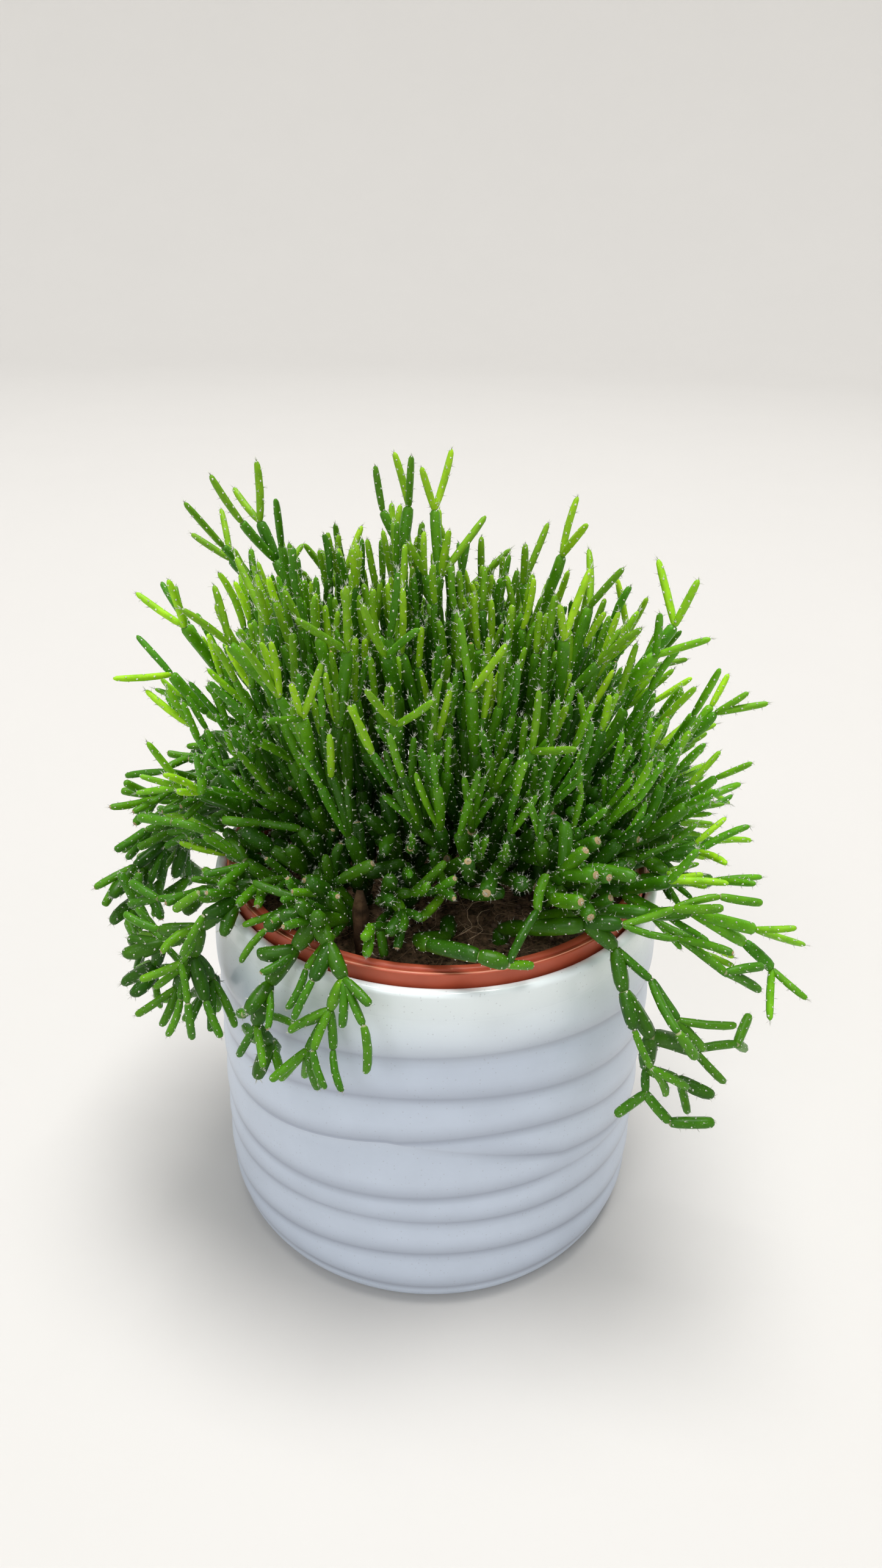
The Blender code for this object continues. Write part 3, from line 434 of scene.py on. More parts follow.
class Thicket:
    """Every bone grown so far, as the straight runs that a new one has to miss."""

    def __init__(self):
        self.bones = []
        self.starts = np.empty((0, 3))
        self.ends = np.empty((0, 3))
        self.girths = np.empty(0)
        self.places = {}
        self.solid = 0              # this many of the bones, from the first, are the solids' own

    def add(self, bone, girth):
        self.places[bone] = len(self.bones)
        self.bones.append(bone)
        self.starts = np.vstack((self.starts, bone.start))
        self.ends = np.vstack((self.ends, bone.end))
        self.girths = np.append(self.girths, girth)

    def gaps(self, start, end):
        """Shortest distance from the run start-end to the surface of each bone."""
        near = np.array(start)
        along = np.array(end) - near
        runs = self.ends - self.starts
        offset = near - self.starts
        length2 = along @ along
        run2 = np.einsum("ij,ij->i", runs, runs)
        along_offset = offset @ along
        run_offset = np.einsum("ij,ij->i", runs, offset)
        cross = runs @ along
        apart = np.maximum(length2 * run2 - cross * cross, 1e-14)
        s = np.clip((cross * run_offset - along_offset * run2) / apart, 0.0, 1.0)
        t = np.clip((cross * s + run_offset) / run2, 0.0, 1.0)
        s = np.clip((cross * t - along_offset) / length2, 0.0, 1.0)
        between = offset + s[:, None] * along - t[:, None] * runs
        return np.linalg.norm(between, axis=1) - self.girths

    def room(self, start, end, kin):
        """The gap from the run start-end to the nearest bone that isn't its kin."""
        if not len(self.bones):
            return 1.0
        gaps = self.gaps(start, end)
        gaps[[self.places[bone] for bone in kin]] = 1.0
        return gaps.min()

    def strays(self, start, end):
        """Whether a run lies too far from every bone of the solids for them to carry its form."""
        return self.gaps(start, end)[:self.solid].min() > MOST_STRAY

    def is_clear(self, start, end, girth, kin):
        return self.room(start, end, kin) > girth + CLEAR_OF_STEMS


def misses_pot(start, end, girth):
    """Whether a bone stays off the soil and outside both pots' walls."""
    for step in range(1, 6):
        point = start.lerp(end, step / 5)
        radius = math.hypot(point.x, point.y)
        for inner, outer, top in OBSTACLES:
            aside = max(inner - radius, radius - outer, 0.0)
            above = max(point.z - top, 0.0)
            if math.hypot(aside, above) < girth + CLEAR_OF_POT:
                return False
    return True


def stray(draw):
    return Vector((draw.gauss(0, 1), draw.gauss(0, 1), draw.gauss(0, 1)))


def middle_of(points):
    return sum(points, Vector()) / len(points)


def split_tips(tips):
    """The tips in two groups, each round one of the two that lie furthest apart."""
    pairs = [(a, b) for i, a in enumerate(tips) for b in tips[i + 1:]]
    one, other = max(pairs, key=lambda pair: (pair[0] - pair[1]).length)
    groups = ([], [])
    for tip in tips:
        groups[(tip - one).length > (tip - other).length].append(tip)
    return groups


def fork_distance(habit, tips):
    """How far before its tips a shoot forks: one bone for each halving of them."""
    halvings = math.ceil(math.log2(len(tips)))
    return habit.tip_bone + habit.bone * (halvings - 1) if halvings else 0.0


def grow_bone(thicket, habit, parent, joint, heading, over, tips, age, draw):
    """One bone from a joint towards its aim, tried with more and more stray."""
    aim = over[0] if over else middle_of(tips)
    away = (aim - joint).length
    last = not over and len(tips) == 1
    usual = habit.tip_bone if last and away < 2.5 * habit.tip_bone else habit.bone
    to_fork = away if over else away - fork_distance(habit, tips)
    bones_left = max(1, round(to_fork / usual))
    ends_here = last and bones_left == 1
    girth = habit.girth_low + (habit.girth_high - habit.girth_low) * min(1.0, age / 4)
    if last:
        girth = habit.girth_tip + (girth - habit.girth_tip) * min(1.0, (bones_left - 1) / 2)
    girth *= draw.uniform(0.93, 1.07)
    kin = [parent] + parent.children if parent else []
    for attempt in range(TRIES):
        length = max(to_fork / bones_left, 0.6 * usual) * (1.0 - 0.02 * attempt)
        if not last:
            length *= draw.uniform(0.94, 1.06)
        pull = 1.0 if ends_here else habit.pull
        wander = (0.0 if ends_here else habit.wander) + 0.03 * attempt
        way = heading.lerp((aim - joint).normalized(), pull) + stray(draw) * wander
        way.normalize()
        end = joint + way * length
        bow = way.cross(stray(draw)) * (habit.bow * length * 0.5)
        reach = girth + bow.length
        start = joint + way * girth
        if parent and any(way.dot(other.heading()) > LEAST_FORK for other in parent.children):
            continue
        if parent and way.dot(parent.heading()) < habit.limber:
            continue
        if away - (aim - end).length < LEAST_GAIN * length:
            continue
        if misses_pot(start, end, reach) and thicket.is_clear(start, end, reach, kin):
            bone = Bone(parent, joint, end, bow, girth)
            thicket.add(bone, reach)
            return bone
    return None


def grow_stems():
    """All the stems, a bone at a time each in turn, so that none takes another's room."""
    draw = random.Random(SEED)
    thicket = Thicket()
    first_bones = {}
    shoots = []
    for stem in STEMS:
        foot = Vector((*stem.root, SOIL_LEVEL + PEG_RISE))
        lead = [Vector(point) for point in stem.over]
        tips = [Vector(point) for point in stem.tips]
        aim = lead[0] if lead else middle_of(tips)
        heading = UP.lerp((aim - foot).normalized(), 0.5).normalized()
        shoots.append((stem, None, foot, heading, lead, tips, 0))
    while shoots:
        stem, parent, joint, heading, over, tips, age = shoots.pop(0)
        bone = grow_bone(thicket, stem.habit, parent, joint, heading, over, tips, age, draw)
        if bone is None:
            continue
        if parent is None:
            first_bones[stem.name] = bone
        if over and (over[0] - bone.end).length < OVER_NEAR * stem.habit.bone:
            over = over[1:]
        if not over and len(tips) == 1 and (tips[0] - bone.end).length < TIP_NEAR * stem.habit.tip_bone:
            continue
        shoots_on = [(bone.heading(), tips)]
        if not over and len(tips) > 1:
            fork = [((middle_of(group) - bone.end).normalized(), group) for group in split_tips(tips)]
            left = (middle_of(tips) - bone.end).length
            near = left < FORK_NEAR * fork_distance(stem.habit, tips)
            if near or fork[0][0].dot(fork[1][0]) < FORK_SPREAD:
                shoots_on = fork
        for way, group in shoots_on:
            shoots.append((stem, bone, bone.end, way, over, group, age + 1))
    thicket.solid = len(thicket.bones)
    return first_bones, thicket


def within(low, value, high):
    return min(max(value, low), high)


class Outline:
    """How far the plant reaches from its heart, each way, by the nearest of its tips."""

    def __init__(self):
        tips = np.array([tip for stem in STEMS for tip in stem.tips]) - np.array(HEART)
        self.reaches = np.linalg.norm(tips, axis=1)
        self.ways = tips / self.reaches[:, None]

    def share(self, point):
        """How far out a point lies, per reach of the plant that way."""
        away = np.array(point - HEART)
        nearest = np.argsort(self.ways @ away)[-NEAR_TIPS:]
        return np.linalg.norm(away) / self.reaches[nearest].mean()


def hides_soil(point):
    """Whether a point hides a stretch of soil that shows at the front of the picture."""
    eye = Vector(CAMERA_PLACE)
    spot = eye.lerp(point, (eye.z - SOIL_LEVEL) / (eye.z - point.z))
    return any(math.hypot((spot.x - seen.x) / seen.width, (spot.y - seen.y) / seen.depth) < 1.0
               for seen in SEEN_SOIL)


def bones_of(first_bone):
    """A stem's bones, each before those that it bears."""
    found = [first_bone]
    for bone in found:
        found += bone.children
    return found


def is_low(point):
    return point.z < LOW_TOP and math.hypot(point.x, point.y) < LOW_RADIUS


def flow(habit, parent):
    """The way that a habit's shoots turn to at a bone's end."""
    away = (parent.end - SPRING).normalized()
    level = Vector((parent.end.x, parent.end.y, 0.0))
    if habit is TRAILING:
        rise = TRAILING_RISE[bool(parent.children)]
        ahead = parent.heading() * TRAILING_AHEAD
        return (ahead + level.normalized() * TRAILING_OUT + UP * rise).normalized()
    if is_low(parent.end):
        return (level / LOW_FAN + UP).normalized()
    if habit is UPRIGHT:
        return (away + UP * UPRIGHT_RISE).normalized()
    return (parent.heading() + away * FANNED_OUT).normalized()


def growth_at(habit, joint, out, draw):
    """The kind of shoot that a joint bears, by its habit and how far out it stands."""
    if habit is TRAILING:
        return PLUMP if draw.random() < PLUMP_SHARES[int(out > YOUNG_FROM)] else SLIM
    if is_low(joint):
        return LOW
    return LONG if out < YOUNG_FROM else YOUNG


def bud(thicket, outline, habit, box, parent, reach, draw):
    """One side shoot at a bone's end: nearly along its parent, and clear of every other bone."""
    joint = parent.end
    growth = growth_at(habit, joint, outline.share(joint), draw)
    ahead = parent.heading().lerp(flow(habit, parent), TURN_TO_FLOW).normalized()
    apart = math.cos(math.radians(growth.apart))
    if habit is not TRAILING:
        reach *= draw.triangular(LEAST_REACH, 1.0, LEAST_REACH)
    kin = [parent] + parent.children
    best_score = None
    for attempt in range(SHOOT_TRIES):
        lean = math.radians(draw.uniform(*growth.leans))
        aside = ahead.orthogonal().normalized()
        aside.rotate(Quaternion(ahead, draw.uniform(0.0, 2.0 * math.pi)))
        way = ahead * math.cos(lean) + aside * math.sin(lean)
        length = draw.uniform(*growth.lengths)
        bow = way.cross(stray(draw)) * (habit.bow * length * SHOOT_BOW)
        end = joint + way * length
        if outline.share(end) > reach and not is_low(end):
            continue
        if any(not least <= part <= most for part, least, most in zip(end, *box)):
            continue
        if habit is TRAILING and thicket.strays(end - way * MM, end):
            continue
        if any(hides_soil(joint.lerp(end, share)) for share in SIGHT_SHARES):
            continue
        if any(way.dot(other.heading()) > apart for other in parent.children):
            continue
        girth = min(draw.uniform(*growth.girths), SWELLING * parent.girth)
        start = joint + way * girth
        if not misses_pot(start, end, girth + bow.length):
            continue
        room = thicket.room(start, end, kin) - girth - bow.length
        score = min(room, SHOOT_ROOM) - LEAN_COST * lean
        if room > growth.clear and (best_score is None or score > best_score):
            best_score = score
            best = (end, bow, girth)
    if best_score is None:
        return None
    end, bow, girth = best
    shoot = Bone(parent, joint, end, bow, girth)
    shoot.order = parent.order + 1
    thicket.add(shoot, girth + bow.length)
    return shoot


def fill_joints(joints, reaches, thicket, outline, most_bones, draw):
    """Turn by turn, a shoot at every joint that has room for one; gives back all the joints."""
    for reach in reaches:
        draw.shuffle(joints)
        for stem, box, bone in list(joints):
            if len(thicket.bones) >= most_bones:
                return joints
            if stem.habit is TRAILING and bone.order >= TRAILING_ORDERS[bone.end.z > LINER_RIM_TOP]:
                continue
            most = SHOOTS_OF.get(stem.name, MOST_SHOOTS)
            if len(bone.children) < most and outline.share(bone.end) < reach:
                shoot = bud(thicket, outline, stem.habit, box, bone, reach, draw)
                if shoot:
                    joints.append((stem, box, shoot))
    return joints


def add_peg(first_bone, thicket):
    """The foot of a stem, in the soil; shoots spring from it too."""
    foot = first_bone.start
    peg = Bone(None, foot - UP * PEG_LENGTH, foot, Vector(), first_bone.girth)
    peg.children.append(first_bone)
    thicket.add(peg, peg.girth)
    return peg


def add_shoots(pegs, thicket, outline, most_bones):
    """Side shoots on every stem: first the trailing ones, then the low ones, then the brush."""
    draw = random.Random(SHOOT_SEED)
    trailing, low, others = [], [], []
    for stem in STEMS:
        bones = bones_of(pegs[stem.name])
        ends = np.array([bone.end for bone in bones])
        above = ROOM_ABOVE if stem.habit is TRAILING else ROOM_ASIDE
        below = 0.0 if stem.habit is TRAILING else ROOM_ASIDE
        box = (ends.min(axis=0) - (ROOM_ASIDE, ROOM_ASIDE, below),
               ends.max(axis=0) + (ROOM_ASIDE, ROOM_ASIDE, above))
        for bone in bones:
            joints = trailing if stem.habit is TRAILING else low if is_low(bone.end) else others
            joints.append((stem, box, bone))
    grown = len(thicket.bones)
    trailing = fill_joints(trailing, TRAILING_REACHES, thicket, outline, TRAILING_SHARE * most_bones, draw)
    low = fill_joints(trailing + low, LOW_REACHES, thicket, outline, LOW_SHARE * most_bones, draw)
    joints = fill_joints(low + others, REACHES, thicket, outline, most_bones, draw)
    shoots = set(thicket.bones[grown:])
    for stem, box, bone in joints:
        if bone in shoots and not bone.children and bone.girth < FAT and stem.habit is not TRAILING:
            bone.girth = min(bone.girth, draw.uniform(*YOUNG.girths))


class Copies:
    """One mesh gathered from many copies of small shapes, each laid in its own place."""

    def __init__(self):
        self.bm = bmesh.new()
        self.laid = []

    def add(self, shape, place, **values):
        """place turns the copy's points into where they lie; values are kept on them."""
        first = len(self.bm.verts)
        self.bm.from_mesh(shape)
        self.laid.append((first, len(self.bm.verts), place, values))

    def finish(self, name, materials):
        mesh = bpy.data.meshes.new(name)
        self.bm.to_mesh(mesh)
        self.bm.free()
        points = read_points(mesh)
        kept = {key: np.zeros(len(points), np.float32) for key in self.laid[0][3]}
        for first, last, place, values in self.laid:
            points[first:last], along = place(points[first:last])
            for key, value in values.items():
                kept[key][first:last] = along if value is ALONG else value
        write_points(mesh, points)
        for key, numbers in kept.items():
            mesh.attributes.new(key, "FLOAT", "POINT").data.foreach_set("value", numbers)
        for material in materials:
            mesh.materials.append(material)
        mesh.shade_smooth()
        return add_object(name, mesh)


def read_points(mesh):
    points = np.empty(len(mesh.vertices) * 3, np.float32)
    mesh.vertices.foreach_get("co", points)
    return points.reshape(-1, 3)


def write_points(mesh, points):
    mesh.vertices.foreach_set("co", np.ascontiguousarray(points, np.float32).ravel())
    mesh.update()


def add_object(name, mesh, material=None):
    obj = bpy.data.objects.new(name, mesh)
    bpy.context.scene.collection.objects.link(obj)
    if material:
        mesh.materials.append(material)
    return obj


def finish_mesh(bm, name):
    bmesh.ops.recalc_face_normals(bm, faces=bm.faces[:])
    mesh = bpy.data.meshes.new(name)
    bm.to_mesh(mesh)
    bm.free()
    return mesh


def turn_profile(bm, profile, sides):
    """A turned shape in bm from (radius, height) pairs, with its poles closed."""
    verts = [bm.verts.new((radius, 0.0, height)) for radius, height in profile]
    edges = [bm.edges.new(pair) for pair in zip(verts, verts[1:])]
    bmesh.ops.spin(bm, geom=verts + edges, cent=(0, 0, 0), axis=UP, angle=2 * math.pi,
                   steps=sides, use_merge=True)
    bmesh.ops.remove_doubles(bm, verts=bm.verts[:], dist=1e-6)


def lathe(profile, sides, name):
    bm = bmesh.new()
    turn_profile(bm, profile, sides)
    return finish_mesh(bm, name)


def arc(centre, radius, first, last, steps=6):
    """Points on an arc of a profile, between two angles in degrees."""
    turns = [math.radians(first + (last - first) * step / steps) for step in range(steps + 1)]
    return [(centre[0] + radius * math.cos(turn), centre[1] + radius * math.sin(turn)) for turn in turns]


def line(first, last, steps):
    """Points between two corners of a profile, without the first."""
    return [(first[0] + (last[0] - first[0]) * step / steps,
             first[1] + (last[1] - first[1]) * step / steps) for step in range(1, steps + 1)]


def loft(rings, sides, name):
    """A closed tube through the rings, extruded ring by ring."""
    bm = bmesh.new()
    centre, way, girth = rings[0]
    facing = Matrix.Translation(centre) @ UP.rotation_difference(way).to_matrix().to_4x4()
    bmesh.ops.create_circle(bm, segments=sides, radius=girth, matrix=facing)
    edges = bm.edges[:]
    for next_centre, next_way, next_girth in rings[1:]:
        grown = bmesh.ops.extrude_edge_only(bm, edges=edges)["geom"]
        verts = {part for part in grown if isinstance(part, bmesh.types.BMVert)}
        edges = [part for part in grown
                 if isinstance(part, bmesh.types.BMEdge) and verts.issuperset(part.verts)]
        turn = way.rotation_difference(next_way).to_matrix().to_4x4()
        move = Matrix.Translation(next_centre) @ turn @ Matrix.Scale(next_girth / girth, 4)
        bmesh.ops.transform(bm, matrix=move @ Matrix.Translation(-centre), verts=list(verts))
        centre, way, girth = next_centre, next_way, next_girth
    bmesh.ops.holes_fill(bm, edges=bm.edges[:], sides=sides)
    return finish_mesh(bm, name)


def keep_values(mesh, name, values):
    mesh.attributes.new(name, "FLOAT", "POINT").data.foreach_set("value", np.array(values, np.float32))


def settle(obj, node):
    """The piece rides with the object and stands for its solid."""
    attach(obj, "root")
    if node:
        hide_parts(node)


def shade(obj, degrees=40.0):
    obj.data.shade_smooth()
    obj.data.set_sharp_from_angle(angle=math.radians(degrees))


def add_node(tree, kind, inputs=None, **settings):
    """A node with its settings; an input gets a value, or the socket that feeds it."""
    made = tree.nodes.new(kind)
    for name, value in settings.items():
        setattr(made, name, value)
    for name, value in (inputs or {}).items():
        if isinstance(value, bpy.types.NodeSocket):
            tree.links.new(value, made.inputs[name])
        else:
            made.inputs[name].default_value = value
    return made


def mix_colours(tree, factor, first, second, blend="MIX"):
    """The socket of two colours mixed; each may be a socket or a colour."""
    mix = add_node(tree, "ShaderNodeMix", data_type="RGBA", blend_type=blend)
    for index, value in ((0, factor), (6, first), (7, second)):
        if isinstance(value, bpy.types.NodeSocket):
            tree.links.new(value, mix.inputs[index])
        else:
            mix.inputs[index].default_value = value
    return mix.outputs[2]


def map_range(tree, value, low, high, to_low=0.0, to_high=1.0, smooth=False):
    kind = "SMOOTHSTEP" if smooth else "LINEAR"
    inputs = {"Value": value, "From Min": low, "From Max": high, "To Min": to_low, "To Max": to_high}
    return add_node(tree, "ShaderNodeMapRange", inputs, interpolation_type=kind).outputs["Result"]


def math_node(tree, operation, *values, clamp=False):
    made = add_node(tree, "ShaderNodeMath", operation=operation, use_clamp=clamp)
    for index, value in enumerate(values):
        if isinstance(value, bpy.types.NodeSocket):
            tree.links.new(value, made.inputs[index])
        else:
            made.inputs[index].default_value = value
    return made.outputs[0]


def new_group(name, inputs, outputs):
    """A shader node group: its tree, and the nodes that bring values in and take them out."""
    tree = bpy.data.node_groups.new(name, "ShaderNodeTree")
    for label, kind, value in inputs:
        socket = tree.interface.new_socket(name=label, in_out="INPUT", socket_type=kind)
        socket.default_value = value
    for label, kind in outputs:
        tree.interface.new_socket(name=label, in_out="OUTPUT", socket_type=kind)
    return tree, tree.nodes.new("NodeGroupInput"), tree.nodes.new("NodeGroupOutput")


def group(name, build):
    """The shader node group of that name, built the first time that it is asked for."""
    return bpy.data.node_groups.get(name) or build(name)


def build_mottle(name):
    """Two colours in soft clouds of a size, given in clouds per metre."""
    tree, given, out = new_group(
        name,
        (("First Colour", "NodeSocketColor", (0.5, 0.5, 0.5, 1.0)),
         ("Second Colour", "NodeSocketColor", (0.5, 0.5, 0.5, 1.0)),
         ("Scale", "NodeSocketFloat", 100.0), ("Contrast", "NodeSocketFloat", 1.0)),
        (("Colour", "NodeSocketColor"), ("Mask", "NodeSocketFloat")))
    place = add_node(tree, "ShaderNodeTexCoord").outputs["Object"]
    cloud = add_node(tree, "ShaderNodeTexNoise", {"Vector": place, "Scale": given.outputs["Scale"],
                                                  "Detail": 4.0, "Roughness": 0.6}).outputs["Fac"]
    centred = math_node(tree, "SUBTRACT", cloud, 0.5)
    spread = math_node(tree, "MULTIPLY", centred, math_node(tree, "MULTIPLY", given.outputs["Contrast"], 3.0))
    mask = math_node(tree, "ADD", spread, 0.5, clamp=True)
    colour = mix_colours(tree, mask, given.outputs["First Colour"], given.outputs["Second Colour"])
    tree.links.new(colour, out.inputs["Colour"])
    tree.links.new(mask, out.inputs["Mask"])
    return tree


def build_specks(name):
    """A mask of small round specks, in some of the cells of a pattern."""
    tree, given, out = new_group(
        name,
        (("Scale", "NodeSocketFloat", 500.0), ("Size", "NodeSocketFloat", 0.2),
         ("Share", "NodeSocketFloat", 0.3)),
        (("Mask", "NodeSocketFloat"),))
    place = add_node(tree, "ShaderNodeTexCoord").outputs["Object"]
    cells = add_node(tree, "ShaderNodeTexVoronoi", {"Vector": place, "Scale": given.outputs["Scale"]})
    soft = math_node(tree, "MULTIPLY", given.outputs["Size"], 0.5)
    dot = map_range(tree, cells.outputs["Distance"], given.outputs["Size"], soft)
    red = add_node(tree, "ShaderNodeSeparateColor", {"Color": cells.outputs["Color"]}).outputs["Red"]
    chosen = math_node(tree, "LESS_THAN", red, given.outputs["Share"])
    tree.links.new(math_node(tree, "MULTIPLY", dot, chosen, clamp=True), out.inputs["Mask"])
    return tree


def build_grain(name):
    """Heights of a surface's fine unevenness, in two sizes."""
    tree, given, out = new_group(
        name,
        (("Scale", "NodeSocketFloat", 500.0), ("Coarse", "NodeSocketFloat", 0.5)),
        (("Height", "NodeSocketFloat"),))
    place = add_node(tree, "ShaderNodeTexCoord").outputs["Object"]
    fine = add_node(tree, "ShaderNodeTexNoise", {"Vector": place, "Scale": given.outputs["Scale"],
                                                 "Detail": 3.0}).outputs["Fac"]
    slow = math_node(tree, "MULTIPLY", given.outputs["Scale"], 0.18)
    coarse = add_node(tree, "ShaderNodeTexNoise", {"Vector": place, "Scale": slow,
                                                   "Detail": 2.0}).outputs["Fac"]
    height = math_node(tree, "MULTIPLY_ADD", coarse, given.outputs["Coarse"], fine)
    tree.links.new(height, out.inputs["Height"])
    return tree


def put_group(tree, name, build, **inputs):
    """A node group placed in a material, with its own values."""
    made = tree.nodes.new("ShaderNodeGroup")
    made.node_tree = group(name, build)
    for key, value in inputs.items():
        made.inputs[key.replace("_", " ")].default_value = value
    return made


def mottle(tree, first, second, scale, contrast=1.0):
    return put_group(tree, "soft_mottle", build_mottle, First_Colour=(*first, 1.0),
                     Second_Colour=(*second, 1.0), Scale=scale, Contrast=contrast)


def specks(tree, scale, size, share):
    return put_group(tree, "fine_specks", build_specks, Scale=scale, Size=size, Share=share).outputs["Mask"]


def grain(tree, scale, coarse=0.5):
    return put_group(tree, "surface_grain", build_grain, Scale=scale, Coarse=coarse).outputs["Height"]


def new_material(name, roughness, **values):
    """A material, its tree and its shader, with constants set on the shader's own sockets."""
    material = bpy.data.materials.new(name)
    material.use_nodes = True
    tree = material.node_tree
    shader = tree.nodes["Principled BSDF"]
    shader.inputs["Roughness"].default_value = roughness
    for key, value in values.items():
        shader.inputs[key.replace("_", " ")].default_value = value
    return material, tree, shader


def attribute(tree, name):
    made = add_node(tree, "ShaderNodeAttribute", attribute_name=name, attribute_type="GEOMETRY")
    return made.outputs["Fac"]


def bump(tree, shader, height, distance, strength=1.0):
    made = add_node(tree, "ShaderNodeBump", {"Height": height, "Distance": distance, "Strength": strength})
    tree.links.new(made.outputs["Normal"], shader.inputs["Normal"])


def darker(colour, share):
    return tuple(part * share for part in colour)


def glaze_material(pot):
    """Pale satin glaze: glossier on the lip and painted brighter there as painted light, darkened by painted
    shade on the swells' undersides, finely specked.
    """
    material, tree, shader = new_material("pale_glaze", 0.40, Coat_Weight=0.25, Coat_Roughness=0.12)
    body = mottle(tree, pot.glaze_colour, darker(pot.glaze_colour, 0.93), 55.0, 0.8)
    # painted shade: the glaze is darkened on the swells' undersides, above and just below each crease
    pooled = mix_colours(tree, attribute(tree, "pooled"), body.outputs["Colour"], (*pot.painted_shade_colour, 1.0))
    height = add_node(tree, "ShaderNodeSeparateXYZ",
                      {"Vector": add_node(tree, "ShaderNodeTexCoord").outputs["Object"]}).outputs["Z"]
    lip = map_range(tree, height, POT_BAND - 0.018, POT_HEIGHT - 0.002, smooth=True)
    # painted light: the lip band is painted brighter because it faces the overhead light; its lower roughness
    # is the glaze's real gloss
    glazed = mix_colours(tree, lip, pooled, (*pot.lip_painted_light_colour, 1.0))
    iron = math_node(tree, "MULTIPLY", specks(tree, 900.0, 0.25, 0.25), 0.22)
    tree.links.new(mix_colours(tree, iron, glazed, (*pot.speck_colour, 1.0)), shader.inputs["Base Color"])
    tree.links.new(map_range(tree, lip, 0.0, 1.0, 0.42, 0.24), shader.inputs["Roughness"])
    bump(tree, shader, grain(tree, 900.0, 1.2), 0.00005, 0.5)
    return material


def plastic_material(liner):
    """Terracotta-coloured plastic with a soft sheen, a painted highlight on the mould's ragged line at the
    rim's outer edge, and pale dust specks.
    """
    material, tree, shader = new_material("terracotta_plastic", 0.38, Specular_IOR_Level=0.45)
    body = mottle(tree, liner.plastic_colour, darker(liner.plastic_colour, 0.82), 90.0, 0.8)
    # painted highlight: the mould's ragged line at the rim's outer edge is painted paler
    flash_highlighted = mix_colours(tree, attribute(tree, "flash"), body.outputs["Colour"], (*liner.dust_and_flash_highlight_colour, 1.0))
    dust = math_node(tree, "MULTIPLY", specks(tree, 420.0, 0.25, 0.12), 0.35)
    tree.links.new(mix_colours(tree, dust, flash_highlighted, (*liner.dust_and_flash_highlight_colour, 1.0)), shader.inputs["Base Color"])
    tree.links.new(map_range(tree, body.outputs["Mask"], 0.0, 1.0, 0.32, 0.48), shader.inputs["Roughness"])
    bump(tree, shader, grain(tree, 700.0, 0.8), 0.00004, 0.5)
    return material


def soil_material(soil):
    """Dark damp peat with browner dry patches."""
    material, tree, shader = new_material("compost", 0.95, Specular_IOR_Level=0.15)
    body = mottle(tree, soil.peat_colour, soil.coir_colour, 420.0, 1.3)
    dark = math_node(tree, "MULTIPLY", specks(tree, 700.0, 0.45, 0.5), 0.8)
    tree.links.new(mix_colours(tree, dark, body.outputs["Colour"], (*darker(soil.peat_colour, 0.35), 1.0)),
                   shader.inputs["Base Color"])
    bump(tree, shader, grain(tree, 1500.0, 1.5), 0.0006)
    return material


def litter_material(name, dark, pale, scale=600.0):
    """Bits that lie on the soil, from dark to pale by their own tone."""
    material, tree, shader = new_material(name, 0.85, Specular_IOR_Level=0.2)
    tone = mix_colours(tree, attribute(tree, "tone"), (*dark, 1.0), (*pale, 1.0))
    body = mottle(tree, (1.0, 1.0, 1.0), (0.55, 0.52, 0.50), scale)
    mottled = mix_colours(tree, 1.0, tone, body.outputs["Colour"], "MULTIPLY")
    tree.links.new(mottled, shader.inputs["Base Color"])
    bump(tree, shader, grain(tree, 2500.0), 0.0001)
    return material


def skin_material(name, stems, share):
    """Waxy green skin: bright on new bones, deep on old ones, with pale joint rings; all its colours are
    scaled by share, which paints light on the fanned stems.
    """
    material, tree, shader = new_material(name, 0.42, Specular_IOR_Level=0.24, Subsurface_Weight=0.10,
                                          Subsurface_Scale=0.0012)
    shader.inputs["Subsurface Radius"].default_value = (0.5, 1.0, 0.2)
    # share above 1 paints the fanned stems' skin brighter: painted light
    young, mature, old = (darker(colour, share)
                          for colour in (stems.young_colour, stems.mature_colour, stems.old_colour))
    age = attribute(tree, "age")
    grown = mix_colours(tree, map_range(tree, age, 0.0, 0.55, smooth=True), (*old, 1.0), (*mature, 1.0))
    fresh = mix_colours(tree, map_range(tree, age, 0.60, 1.0), grown, (*young, 1.0))
    clouds = mottle(tree, (1.0, 1.0, 1.0), (0.62, 0.74, 0.60), 260.0, 0.9).outputs["Colour"]
    toned = mix_colours(tree, 1.0, fresh, clouds, "MULTIPLY")
    tone = attribute(tree, "tone")
    varied = add_node(tree, "ShaderNodeHueSaturation",
                      {"Color": toned, "Value": map_range(tree, tone, 0.0, 1.0, 0.72, 1.28),
                       "Hue": map_range(tree, tone, 0.0, 1.0, 0.508, 0.492)}).outputs["Color"]
    pores = math_node(tree, "MULTIPLY", specks(tree, 1500.0, 0.30, 0.45), 0.10)
    dotted = mix_colours(tree, pores, varied, (*stems.areole_colour, 1.0))
    base = map_range(tree, attribute(tree, "along"), 0.018, 0.042, 0.80, 0.0)
    ringed = mix_colours(tree, base, dotted, (*stems.ring_colour, 1.0))
    tree.links.new(ringed, shader.inputs["Base Color"])
    tree.links.new(map_range(tree, age, 0.0, 1.0, 0.34, 0.48), shader.inputs["Roughness"])
    bump(tree, shader, grain(tree, 1400.0, 1.0), 0.00005, 0.6)
    return material


def plain_material(name, colour, roughness, scale):
    """A small part of one colour, a little mottled."""
    material, tree, shader = new_material(name, roughness, Specular_IOR_Level=0.3)
    body = mottle(tree, colour, darker(colour, 0.75), scale)
    tree.links.new(body.outputs["Colour"], shader.inputs["Base Color"])
    return material


